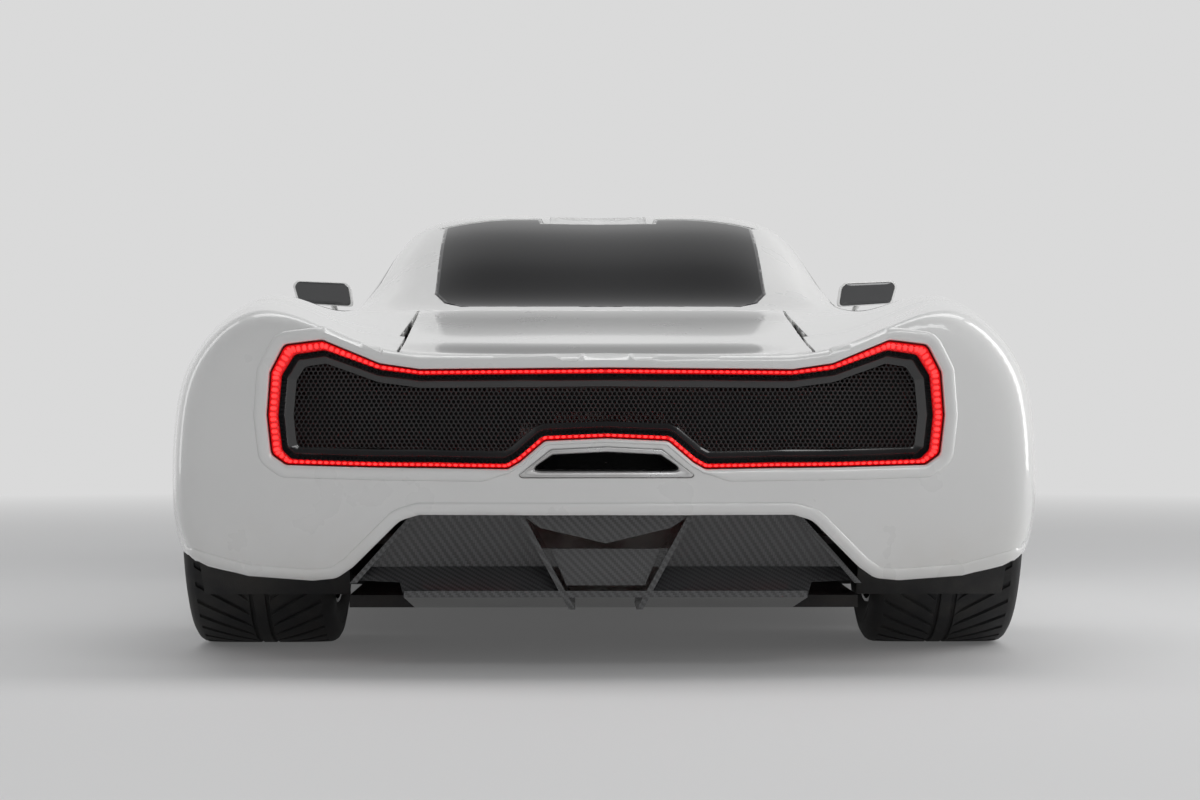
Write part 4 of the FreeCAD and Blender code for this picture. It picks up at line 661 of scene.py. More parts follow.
@dataclass(frozen=True)
class CellSheet:
    """A sheet of staggered holes on one end of the car."""

    pitch: float
    hole_share: float
    wall: float
    dip: float

    def cut(self, name: str, region: Array, toward: object, depth: float, holes: bool = True,
            flip: bool = True) -> Piece:
        """Make the sheet inside a region.

        Args:
            name: Name of the piece.
            region: Closed outline that every cell lies in.
            toward: Function that sets places across and up at a depth inside the skin.
            depth: Depth of the sheet inside the skin.
            holes: Whether its cells are open.
            flip: Whether the faces look to the tail.

        Returns:
            The new object.
        """
        low, high = region.min(0), region.max(0)
        rise = self.pitch * sqrt(.75)
        centres = []
        for row in range(int((high[1] - low[1]) / rise) + 2):
            z = low[1] + row * rise
            half_count = int((high[0] - low[0]) / self.pitch / 2) + 2
            for k in range(-half_count, half_count):
                centres.append(((k + (row % 2) / 2 + .25) * self.pitch, z))
        centres = np.array(centres)
        angles = np.arange(6) * pi / 3 + pi / 6
        around = np.stack([np.cos(angles), np.sin(angles)], 1)
        reach = self.pitch / sqrt(3)
        kept = np.all([inside_outline(centres + reach * spot, region) for spot in around], axis=0)
        centres = centres[kept]
        rings = [(reach, depth)]
        if holes:
            rings += [(reach * self.hole_share, depth + self.dip), (reach * self.hole_share, depth + self.wall)]
        points = [toward((centres[:, None] + radius * around).reshape(-1, 2), level).reshape(-1, 6, 3)
            for radius, level in rings]
        flat = np.concatenate(points, axis=1)
        per_cell = flat.shape[1]
        faces = []
        for c in range(len(centres)):
            start = c * per_cell
            if not holes:
                faces.append(tuple(start + k for k in range(6)))
            for ring in range(len(rings) - 1):
                for k in range(6):
                    a, b = start + ring * 6 + k, start + ring * 6 + (k + 1) % 6
                    faces.append((a, b, b + 6, a + 6))
        if not flip:
            faces = [f[::-1] for f in faces]
        obj = mesh_object(name, flat.reshape(-1, 3), faces)
        smooth_by_angle(obj, 25.0)
        return obj


@dataclass(frozen=True)
class Arch:
    """A wheel arch, which the parts have in flats."""

    y: float
    z: float
    radius: float
    flats: int = 24
    reach: float = .06

    def rounded(self, points: Array) -> Array:
        """Points near the arch, with its flats pushed out to a true circle."""
        y, z = points[:, 1] - self.y, points[:, 2] - self.z
        far = np.maximum(np.hypot(y, z), 1e-6)
        half = pi / self.flats
        turn = np.mod(np.arctan2(z, y) + half, 2 * half) - half
        flat = self.radius * cos(half) / np.cos(turn)
        fade = np.clip(1 - np.abs(far - flat) / self.reach, 0, 1) * (np.abs(points[:, 0]) > .6)
        share = 1 + (self.radius - flat) * fade / far
        return np.stack([points[:, 0], self.y + y * share, self.z + z * share], 1)


SLIVER_AREA = 4e-7
TROUGH_FLOOR = 1.04
TROUGH_NORMAL = (0.0, -.17, .985)
ARCHES = (Arch(CAR.rear_axle, .357, .391), Arch(CAR.front_axle, .343, .399))


@dataclass(frozen=True)
class Shaper:
    """Turns a flat-faceted body panel into a smooth one with rolled edges."""

    skin: Skin
    outer_edge: float = .03
    inner_edge: float = .15
    roll_width: float = .003
    roll_depth: float = .0014
    roll_lean: float = .8
    on_skin: float = 4e-4

    def shaped(self, node: Piece, name: str, level: bool = False) -> Piece:
        """Make a smooth copy of a panel.

        Args:
            node: The panel with flat facets.
            name: Name of the new piece.
            level: Whether the panel has a flat trough in its top.

        Returns:
            The new piece.
        """
        bm = bmesh.new()
        bm.from_mesh(node.data)
        bmesh.ops.remove_doubles(bm, verts=bm.verts, dist=2e-5)
        bmesh.ops.dissolve_degenerate(bm, dist=5e-5, edges=bm.edges)
        bmesh.ops.dissolve_limit(bm, angle_limit=radians(.05), verts=bm.verts, edges=bm.edges)
        kind = bm.faces.layers.int.new("kind")
        _, _, gaps = self.skin.nearest_facets(np.array([v.co for v in bm.verts]))
        near = gaps < self.on_skin / 4
        outside = []
        for face in bm.faces:
            if all(near[v.index] for v in face.verts) and self._faces_out(face):
                face[kind] = 1
                outside.append(face)
        if outside:
            bm.faces.ensure_lookup_table()
            made = bmesh.ops.inset_region(bm, faces=outside, thickness=self.roll_width, use_boundary=True,
                use_even_offset=True, use_interpolate=False)
            for face in made["faces"]:
                face[kind] = 2
        bmesh.ops.triangulate(bm, faces=bm.faces)
        self._divide(bm, kind, self.outer_edge)
        return self._settled(bm, kind, name, level)

    def _faces_out(self, face: bmesh.types.BMFace) -> bool:
        """Whether a face lies along the skin, and isn't a thin wall whose corners all touch it."""
        _, normal, _, gap = self.skin.tree.find_nearest(face.calc_center_median())
        along = face.calc_area() < SLIVER_AREA or abs(normal.dot(face.normal)) > .9
        return along and gap < self.on_skin / 4

    def _divide(self, bm: bmesh.types.BMesh, kind: bmesh.types.BMLayerItem, edge: float) -> None:
        """Split long edges until every one is short enough."""
        for _ in range(8):
            long_edges = []
            for e in bm.edges:
                outer = any(f[kind] for f in e.link_faces)
                if e.calc_length() > (edge if outer else self.inner_edge):
                    long_edges.append(e)
            if not long_edges:
                break
            bmesh.ops.subdivide_edges(bm, edges=long_edges, cuts=1, use_grid_fill=False)
            bmesh.ops.triangulate(bm, faces=[f for f in bm.faces if len(f.verts) > 3])

    def _settled(self, bm: bmesh.types.BMesh, kind: bmesh.types.BMLayerItem, name: str, level: bool) -> Piece:
        """Move a divided panel onto the smooth skin and give it true normals."""
        bm.verts.index_update()
        bm.normal_update()
        trough = [level and not f[kind] and f.normal.z > .9 and f.calc_center_median().z > TROUGH_FLOOR
            for f in bm.faces]
        still = np.zeros(len(bm.verts), bool)
        for face, is_trough in zip(bm.faces, trough):
            if is_trough:
                still[[v.index for v in face.verts]] = True
        points = np.array([v.co for v in bm.verts])
        for arch in ARCHES:
            points = arch.rounded(points)
        places, numbers, _ = self.skin.nearest_facets(points)
        spots, normals = self.skin.settle(places, numbers)
        skin_vert = np.array([any(f[kind] for f in v.link_faces) for v in bm.verts])
        rim = skin_vert & np.array([any(not f[kind] for f in v.link_faces) for v in bm.verts])
        moved = points + spots - places
        moved[still] = self.skin.drawn_in(points)[still]
        moved[skin_vert] = spots[skin_vert]
        moved[rim] -= normals[rim] * self.roll_depth
        for vert in bm.verts:
            vert.co = moved[vert.index]
        bm.normal_update()
        for face in bm.faces:
            if face[kind] == 1 and face.normal.dot(Vector(normals[face.verts[0].index])) < 0:
                face.normal_flip()
        kinds = [f[kind] for f in bm.faces]
        mesh = bpy.data.meshes.new(name)
        bm.to_mesh(mesh)
        bm.free()
        obj = link(bpy.data.objects.new(name, mesh))
        smooth_by_angle(obj, 30.0)
        corner_normals = np.zeros(len(mesh.loops) * 3, np.float32)
        mesh.corner_normals.foreach_get("vector", corner_normals)
        corner_normals = corner_normals.reshape(-1, 3)
        wall_normals = np.zeros((len(points), 3))
        for polygon, is_skin in zip(mesh.polygons, kinds):
            if not is_skin:
                for k in polygon.vertices:
                    wall_normals[k] += polygon.normal
        rolled = unit_rows(normals + self.roll_lean * unit_rows(wall_normals))
        for polygon, is_skin, is_trough in zip(mesh.polygons, kinds, trough):
            for k, loop in zip(polygon.vertices, polygon.loop_indices):
                if is_skin:
                    corner_normals[loop] = rolled[k] if rim[k] else normals[k]
                elif is_trough:
                    corner_normals[loop] = TROUGH_NORMAL
        mesh.normals_split_custom_set([tuple(n) for n in corner_normals])
        return obj


class Nodes:
    """Shader nodes of a material or of the world."""

    def __init__(self, tree: bpy.types.NodeTree) -> None:
        """Work on one tree."""
        self.tree = tree

    def feed(self, target: Socket, value: Socket | float | tuple) -> None:
        """Join a socket to another, or set it to a value."""
        if isinstance(value, Socket):
            self.tree.links.new(value, target)
        else:
            target.default_value = value

    def add(self, kind: str, output: int | str, inputs: dict, **settings: str) -> Socket:
        """Add one node.

        Args:
            kind: Its kind, without the words that every kind starts with.
            output: Number or name of the output that is wanted.
            inputs: What each of its inputs takes.
            settings: Its choices.

        Returns:
            The output.
        """
        node = self.tree.nodes.new(f"ShaderNode{kind}")
        for key, value in settings.items():
            setattr(node, key, value)
        for key, value in inputs.items():
            self.feed(node.inputs[key], value)
        return node.outputs[output]

    def math(self, operation: str, *values: Socket | float) -> Socket:
        """Result of one sum."""
        return self.add("Math", 0, dict(enumerate(values)), operation=operation)

    def seen_rays(self) -> Socket:
        """1 for rays from the camera, in gloss and through glass, and 0 for the light that falls on things."""
        path = self.add("LightPath", 0, {}).node.outputs
        seen = self.math("MAXIMUM", path["Is Camera Ray"], path["Is Glossy Ray"])
        return self.math("MAXIMUM", seen, path["Is Transmission Ray"])


class Recipe(Nodes):
    """A material in the making."""

    def __init__(self, name: str) -> None:
        """Start a material with its main shader and object coordinates."""
        self.material = bpy.data.materials.new(name)
        self.material.use_nodes = True
        super().__init__(self.material.node_tree)
        self.shader = self.tree.nodes["Principled BSDF"]
        self.place = self.add("TexCoord", "Object", {})

    def set(self, **values: float | tuple) -> None:
        """Set sockets of the main shader, with their names in lower case and words joined by lines."""
        for key, value in values.items():
            self.shader.inputs[key.replace("_", " ").title().replace("Ior", "IOR")].default_value = value

    def part(self, axis: str) -> Socket:
        """One coordinate of the place on the object, in metres."""
        return self.add("SeparateXYZ", axis, {0: self.place})

    def noise(self, scale: float, detail: float = 3.0, stretch: Point = (1.0, 1.0, 1.0)) -> Socket:
        """Soft noise.

        Args:
            scale: Its size, in blotches a metre.
            detail: How many finer layers it has.
            stretch: How much each axis is stretched.

        Returns:
            Its value, from 0 to 1.
        """
        place = self.add("VectorMath", 0, {0: self.place, 1: stretch}, operation="MULTIPLY")
        return self.add("TexNoise", "Fac", {"Vector": place, "Scale": scale, "Detail": detail})

    def cells(self, scale: float, feature: str = "F1") -> Socket:
        """Distance in a pattern of cells, with a number of cells a metre."""
        return self.add("TexVoronoi", "Distance", {"Vector": self.place, "Scale": scale}, feature=feature)

    def spread(self, value: Socket, source: Flat, target: Flat) -> Socket:
        """A value moved from one range to another, and held inside it."""
        ends = dict(zip(("From Min", "From Max", "To Min", "To Max"), source + target))
        return self.add("MapRange", "Result", {"Value": value, **ends})

    def blend(self, factor: Socket, first: Point, second: Point) -> Socket:
        """A colour between two others."""
        return self.add("Mix", 2, {0: factor, 6: (*first, 1.0), 7: (*second, 1.0)}, data_type="RGBA")

    def bump(self, height: Socket, depth: float) -> None:
        """Raise the surface by a height from 0 to 1, with its depth in metres."""
        self.feed(self.shader.inputs["Normal"], self.add("Bump", 0, {"Distance": depth, "Height": height}))


COAT_ROUGHNESS = .04


@dataclass(frozen=True)
class Finish:
    """A plain surface finish with soft blotches, fine grain and uneven gloss.

    Attributes:
        name: Name of its material.
        colour: Its colour.
        worn: Its colour where it is dusty or rubbed.
        roughness: Its middle roughness.
        rough_spread: How far the roughness moves each way.
        metallic: 1 for bare metal.
        coat: Weight of a clear coat.
        blotch: Blotches a metre.
        grain: Grains a metre.
        grain_depth: Depth of the grain.
        stretch: How much each axis of the grain is stretched.
    """

    name: str
    colour: Point
    worn: Point
    roughness: float = .5
    rough_spread: float = .06
    metallic: float = 0.0
    coat: float = 0.0
    blotch: float = 7.0
    grain: float = 600.0
    grain_depth: float = .0002
    stretch: Point = (1.0, 1.0, 1.0)

    def material(self) -> bpy.types.Material:
        """Make the material."""
        recipe = Recipe(self.name)
        recipe.set(metallic=self.metallic, coat_weight=self.coat, coat_roughness=COAT_ROUGHNESS)
        self.lay(recipe)
        return recipe.material

    def lay(self, recipe: Recipe) -> None:
        """Lay the colour, gloss and grain."""
        blotches = recipe.noise(self.blotch, 5.0)
        self.lay_colour(recipe, recipe.spread(blotches, (.42, .72), (0.0, 1.0)))
        self.lay_gloss(recipe, blotches)
        recipe.bump(recipe.noise(self.grain, 2.0, self.stretch), self.grain_depth)

    def lay_colour(self, recipe: Recipe, wear: Socket) -> None:
        """Blend the clean colour into the worn one."""
        recipe.feed(recipe.shader.inputs["Base Color"], recipe.blend(wear, self.colour, self.worn))

    def lay_gloss(self, recipe: Recipe, blotches: Socket) -> None:
        """Make the gloss uneven."""
        low = self.roughness - self.rough_spread
        high = self.roughness + self.rough_spread
        recipe.feed(recipe.shader.inputs["Roughness"], recipe.spread(blotches, (.3, .7), (low, high)))


@dataclass(frozen=True)
class BodyPaint(Finish):
    """Gloss paint under a clear coat, with orange peel and a film of road dust low down."""

    peel: float = 110.0
    peel_depth: float = .00003
    dust_height: float = .36

    def lay(self, recipe: Recipe) -> None:
        """Lay the paint."""
        low = recipe.spread(recipe.part("Z"), (.12, self.dust_height), (1.0, 0.0))
        dust = recipe.math("MULTIPLY", low, recipe.spread(recipe.noise(9.0, 6.0), (.35, .8), (0.0, 1.0)))
        self.lay_colour(recipe, dust)
        self.lay_gloss(recipe, recipe.noise(self.blotch, 4.0))
        recipe.bump(recipe.noise(self.peel, 1.0), self.peel_depth)


@dataclass(frozen=True)
class TintedGlass(Finish):
    """Clear or dark glass with faint smears."""

    through: float = 1.0

    def lay(self, recipe: Recipe) -> None:
        """Lay the glass."""
        recipe.set(transmission_weight=self.through, ior=1.5)
        smears = recipe.noise(self.blotch, 6.0, (1.0, .35, 1.0))
        self.lay_colour(recipe, recipe.spread(smears, (.45, .8), (0.0, 1.0)))
        self.lay_gloss(recipe, smears)


@dataclass(frozen=True)
class LampGlow(Finish):
    """A lit lamp cover, a little uneven along its length."""

    strength: float = 1.0

    def lay(self, recipe: Recipe) -> None:
        """Lay the glow."""
        ripple = recipe.noise(self.blotch, 2.0)
        self.lay_colour(recipe, recipe.spread(ripple, (.3, .7), (0.0, 1.0)))
        recipe.shader.inputs["Emission Color"].default_value = (*self.colour, 1.0)
        recipe.feed(recipe.shader.inputs["Emission Strength"],
            recipe.spread(ripple, (.3, .7), (self.strength * .8, self.strength * 1.2)))
        recipe.set(roughness=self.roughness)
        recipe.bump(recipe.noise(self.grain, 1.0), self.grain_depth)


@dataclass(frozen=True)
class Twill(Finish):
    """Woven carbon under clear lacquer, in a two by two twill."""

    tow: float = .0045

    def lay(self, recipe: Recipe) -> None:
        """Lay the weave."""
        across = recipe.math("DIVIDE", recipe.part("X"), self.tow)
        slope = recipe.math("ADD", recipe.part("Y"), recipe.part("Z"))
        along = recipe.math("DIVIDE", slope, self.tow)
        steps = recipe.math("ADD", recipe.math("FLOOR", across), recipe.math("FLOOR", along))
        over = recipe.math("LESS_THAN", recipe.math("WRAP", steps, 4.0, 0.0), 1.5)
        self.lay_colour(recipe, over)
        self.lay_gloss(recipe, recipe.noise(self.blotch, 4.0))
        arch_across, arch_along = [
            recipe.math("ABSOLUTE", recipe.math("SINE", recipe.math("MULTIPLY", count, pi)))
            for count in (across, along)]
        recipe.bump(recipe.add("Mix", 0, {0: over, 2: arch_along, 3: arch_across}), self.grain_depth)


@dataclass(frozen=True)
class Leather(Finish):
    """Leather or its likeness, with cells of grain and softer creases."""

    def lay(self, recipe: Recipe) -> None:
        """Lay the grain."""
        creases = recipe.noise(self.blotch, 4.0)
        self.lay_colour(recipe, recipe.spread(creases, (.45, .8), (0.0, 1.0)))
        self.lay_gloss(recipe, creases)
        grain = recipe.math("ADD", recipe.cells(self.grain, "DISTANCE_TO_EDGE"), creases)
        recipe.bump(grain, self.grain_depth)


@dataclass(frozen=True)
class BackdropSheet(Finish):
    """Floor paper that stays as pale to the eye as it is written, and keeps the shadow."""

    near: float = 2.6
    far: float = 9.0
    held: float = .12

    def lay(self, recipe: Recipe) -> None:
        """Lay the paper."""
        self.lay_colour(recipe, recipe.noise(self.blotch, 3.0))
        recipe.set(roughness=self.roughness)
        recipe.bump(recipe.noise(self.grain, 2.0), self.grain_depth)
        out = recipe.add("VectorMath", "Value", {0: recipe.place}, operation="LENGTH")
        share = recipe.spread(out, (self.near, self.far), (self.held, 1.0))
        own = recipe.add("Emission", 0, {"Color": (*self.colour, 1.0)})
        mix = recipe.add("MixShader", 0, {
            0: recipe.math("MULTIPLY", recipe.seen_rays(), share), 1: recipe.shader.outputs[0], 2: own})
        recipe.feed(recipe.tree.nodes["Material Output"].inputs[0], mix)


FINISHES: tuple[Finish, ...] = (
    BodyPaint("gloss_paint", (.8, .8, .79), (.71, .69, .65), .3, .04, coat=1.0),
    TintedGlass("dark_glass", (.014, .016, .018), (.022, .024, .026), .02, .012,
    blotch=5.0),
    Finish("glass_border", (.006, .006, .007), (.012, .012, .012), .12, .04, coat=1.0,
    grain_depth=.00002),
    TintedGlass("clear_lens", (.95, .96, .97), (.9, .9, .9), .02, .01, blotch=9.0),
    LampGlow("red_cover", (.55, .004, .006), (.4, .002, .004), .22, grain=300.0,
    blotch=30.0, strength=.7),
    LampGlow("red_led", (1.0, .02, .02), (.9, .02, .02), .3, blotch=40.0,
    strength=2.6),
    LampGlow("white_led", (.95, .97, 1.0), (.9, .9, .95), .3, blotch=40.0,
    strength=1.6),
    Finish("gloss_black", (.008, .008, .009), (.016, .016, .016), .16, .05, coat=.6,
    grain_depth=.00002),
    # Near-black matt finish for sheets that stand in for painted shade in deep openings: behind the tail mesh, behind
    # the nose meshes and in the pipe's throat.
    Finish("void_black", (.002, .002, .002), (.004, .004, .004), .85, .05),
    Finish("pipe_soot", (.03, .028, .026), (.012, .011, .01), .6, .1, metallic=.6,
    blotch=40.0, grain=240.0, grain_depth=.0004),
    TintedGlass("mirror_glass", (.02, .021, .023), (.03, .03, .032), .02, .01, coat=1.0,
    through=0.0),
    TintedGlass("smoked_lens", (.3, .31, .32), (.26, .26, .27), .03, .01,
    blotch=9.0),
    Twill("seat_shell", (.012, .012, .013), (.034, .035, .036), .3, .05, coat=.7,
    grain_depth=.0003, tow=.003),
    Finish("mesh_black", (.01, .01, .011), (.028, .028, .028), .42, .08),
    Finish("satin_metal", (.62, .62, .62), (.48, .47, .46), .3, .07, metallic=1.0,
    stretch=(.08, 1.0, 1.0), grain=900.0, grain_depth=.00006),
    Twill("carbon_twill", (.016, .016, .017), (.062, .063, .066), .34, .05, coat=.8,
    grain_depth=.0004),
    Finish("underbody", (.018, .018, .019), (.055, .052, .048), .62, .08,
    grain=260.0, grain_depth=.0006),
    Finish("tyre_rubber", (.014, .014, .015), (.04, .038, .036), .68, .08, blotch=14.0,
    grain=420.0, grain_depth=.0004),
    Finish("rim_alloy", (.2, .2, .205), (.14, .14, .14), .28, .07, metallic=1.0, coat=.4,
    grain=700.0, grain_depth=.00008),
    Finish("brake_disc", (.42, .42, .42), (.3, .29, .27), .32, .1, metallic=1.0,
    blotch=22.0, grain=500.0, grain_depth=.0001),
    Finish("brake_caliper", (.42, .015, .012), (.28, .012, .01), .32, .07,
    coat=.5, grain_depth=.00015),
    Finish("cast_steel", (.16, .16, .165), (.1, .085, .07), .55, .12, metallic=.8,
    blotch=18.0, grain=300.0, grain_depth=.0006),
    Finish("engine_cast", (.34, .34, .33), (.2, .19, .18), .5, .1, metallic=.9,
    blotch=16.0, grain=220.0, grain_depth=.0009),
    Leather("dash_skin", (.016, .016, .017), (.03, .029, .028), .52, .07,
    blotch=24.0, grain=700.0, grain_depth=.0005),
    Leather("seat_leather", (.03, .028, .027), (.058, .053, .05), .46, .08,
    blotch=26.0, grain=520.0, grain_depth=.0006),
    Finish("pale_thread", (.55, .54, .52), (.42, .4, .38), .7, .05, grain=2600.0,
    grain_depth=.0002),
    BackdropSheet("floor_paper", (.7, .7, .7), (.68, .68, .68), .75, blotch=.8, grain=60.0,
    grain_depth=.0001),
)


@dataclass(frozen=True)
class SoftLamp:
    """A soft rectangular lamp of the studio."""

    name: str
    place: Point
    aim: Point
    size: Flat
    watts: float

    def hang(self) -> None:
        """Make the lamp and aim it."""
        lamp = bpy.data.lights.new(self.name, "AREA")
        lamp.shape = "RECTANGLE"
        lamp.size = self.size[0]
        lamp.size_y = self.size[1]
        lamp.energy = self.watts
        holder = link(bpy.data.objects.new(self.name, lamp))
        holder.location = self.place
        way = Vector(self.aim) - Vector(self.place)
        holder.rotation_euler = way.to_track_quat("-Z", "Y").to_euler()


@dataclass(frozen=True)
class Studio:
    """Floor, lamps and camera."""

    finishes: dict[str, bpy.types.Material]
    eye: Point = (-.0685, -7.7, .589)
    turn: float = .01005
    lens: float = 77.4
    floor_size: float = 60.0
    world_level: float = .3
    wall: Point = (.7, .7, .7)
    ceiling: Point = (.14, .14, .145)
    lamps: tuple[SoftLamp, ...] = (
        SoftLamp("overhead", (.2, -1.0, 5.2), (0.0, -1.0, 0.0), (2.6, 7.0), 120.0),
        SoftLamp("right_wall", (6.5, -1.8, 3.0), (.6, -.6, .5), (2.0, 7.0), 210.0),
        SoftLamp("left_wall", (-6.5, .5, 3.0), (-.6, 0.0, .5), (2.0, 7.0), 70.0),
        SoftLamp("behind", (2.6, -8.5, 5.0), (0.0, -2.0, .5), (4.5, 1.6), 90.0),
    )

    def build(self) -> None:
        """Make everything of the studio."""
        self._floor()
        self._world()
        for lamp in self.lamps:
            lamp.hang()
        self._camera()

    def _floor(self) -> None:
        """Lay a floor of paper, a little uneven."""
        half = self.floor_size / 2
        lines = np.linspace(-half, half, 25)
        rows = [np.stack([lines, np.full(25, y), np.zeros(25)], 1) for y in lines]
        floor = rows_mesh("studio_floor", rows, closed=False)
        floor.data.materials.append(self.finishes["floor_paper"])

    def _world(self) -> None:
        """Light the room evenly, and show it pale to the eye, to gloss and through glass."""
        world = bpy.data.worlds.new("studio_room")
        bpy.context.scene.world = world
        world.use_nodes = True
        nodes = Nodes(world.node_tree)
        room = nodes.tree.nodes["Background"]
        room.inputs["Color"].default_value = (.97, .98, 1.0, 1.0)
        room.inputs["Strength"].default_value = self.world_level
        height = nodes.add("SeparateXYZ", "Z", {0: nodes.add("TexCoord", "Generated", {})})
        shades = nodes.add("ValToRGB", 0, {0: height})
        for stop, place, shade in zip(shades.node.color_ramp.elements, (.28, .72), (self.wall, self.ceiling)):
            stop.position, stop.color = place, (*shade, 1.0)
        seen = nodes.add("Background", 0, {"Color": shades})
        mix = nodes.add("MixShader", 0, {0: nodes.seen_rays(), 1: room.outputs[0], 2: seen})
        nodes.feed(nodes.tree.nodes["World Output"].inputs[0], mix)

    def _camera(self) -> None:
        """Set the camera behind the car, level, as the photograph has it."""
        camera = bpy.data.cameras.new("camera")
        camera.sensor_width = 36.0
        camera.lens = self.lens
        holder = link(bpy.data.objects.new("camera", camera))
        holder.location = self.eye
        way = Vector((sin(self.turn), cos(self.turn), 0.0))
        holder.rotation_euler = way.to_track_quat("-Z", "Y").to_euler()
        bpy.context.scene.camera = holder
        bpy.context.scene.view_settings.view_transform = "Standard"


@dataclass(frozen=True)
class Shop:
    """What every sub-assembly works with: the frame, the smooth skin and the materials."""

    frame: dict
    skin: Skin
    finishes: dict[str, bpy.types.Material]

    def node(self, name: str) -> Piece:
        """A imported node."""
        return self.frame["nodes"][name]

    def body(self, name: str) -> str:
        """Body that a node rides on."""
        for body, nodes in self.frame["record"]["behaviour"]["bodies"].items():
            if name in nodes:
                return body
        return "body"


@dataclass(frozen=True)
class SubAssembly:
    """A group of pieces that are made and dressed together."""

    shop: Shop

    def dress(self, piece: Piece, slot: str, finish: str, nodes: tuple[str, ...] = (), body: str = "body") -> None:
        """Give a piece its finish, and tie it to its body.

        Args:
            piece: The piece.
            slot: Slot of the record; not used.
            finish: Name of its finish.
            nodes: Nodes that it stands for.
            body: Body that it rides on.
        """
        piece.data.materials.clear()
        piece.data.materials.append(self.shop.finishes[finish])
        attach(piece, body)
        if nodes:
            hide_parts(*nodes)
        LOG.info("%s: %d faces on %s", piece.name, len(piece.data.polygons), body)


@dataclass(frozen=True)
class Bodywork(SubAssembly):
    """Painted panels with smooth skins and rolled edges."""

    panels: tuple[str, ...] = ("cabin_frame", "roof", "front_lid", "engine_cover", "rear_bumper",
        "front_bumper", "sills", "quarter_left", "quarter_right",
        "front_fender_left", "front_fender_right", "door_left", "door_right")

    def build(self) -> None:
        """Make each panel."""
        shaper = Shaper(self.shop.skin)
        for name in self.panels:
            panel = shaper.shaped(self.shop.node(name), f"{name}_panel", name == "roof")
            self.dress(panel, "body_paint", "gloss_paint", (name,), self.shop.body(name))


@dataclass(frozen=True)
class Glazing(SubAssembly):
    """Window glass with a dark border."""

    panes: tuple[str, ...] = ("windscreen", "rear_window", "window_left", "window_right")
    border: float = .009

    def build(self) -> None:
        """Make each pane."""
        shaper = Shaper(self.shop.skin, roll_width=self.border, roll_depth=0.0)
        for name in self.panes:
            pane = shaper.shaped(self.shop.node(name), f"{name}_pane")
            self.dress(pane, "dark_glass", "dark_glass", (name,), self.shop.body(name))
            pane.data.materials.append(self.shop.finishes["glass_border"])
            kinds = pane.data.attributes["kind"].data
            for polygon, kind in zip(pane.data.polygons, kinds):
                polygon.material_index = 1 if kind.value == 2 else 0


RING_SHARES: list[Flat] = [(0, .58), (.397, .577), (.482, .588), (.606, .633), (.69, .624), (.72, .572),
    (.726, .49), (.716, .416), (.684, .396), (.5, .392), (.209, .389), (.183, .402),
    (.13, .442), (0, .447)]
RING_INNER_SHARES: list[Flat] = [(0, .57), (.397, .567), (.487, .577), (.604, .614), (.668, .606), (.696, .566),
    (.703, .49), (.694, .424), (.674, .407), (.5, .402), (.214, .399), (.19, .411),
    (.136, .452), (0, .457)]
BUMPER_EDGE_SHARES: list[Flat] = [(0, .304), (.397, .304), (.439, .293), (.542, .203), (.578, .181), (.631, .176),
    (.77, .184), (.93, .221), (1.1, .255)]
EXHAUST_SHARES: list[Flat] = [(0, .432), (.117, .427), (.186, .379), (.18, .374), (0, .374)]
EXHAUST_INNER_SHARES: list[Flat] = [(0, .421), (.114, .416), (.163, .387), (0, .387)]
INTAKE_SHARES: list[Flat] = [(0, .296), (.4, .291), (.45, .255), (.42, .168), (0, .163)]
SIDE_INTAKE_SHARES: list[Flat] = [(.53, .276), (.72, .306), (.78, .265), (.76, .194), (.55, .174)]


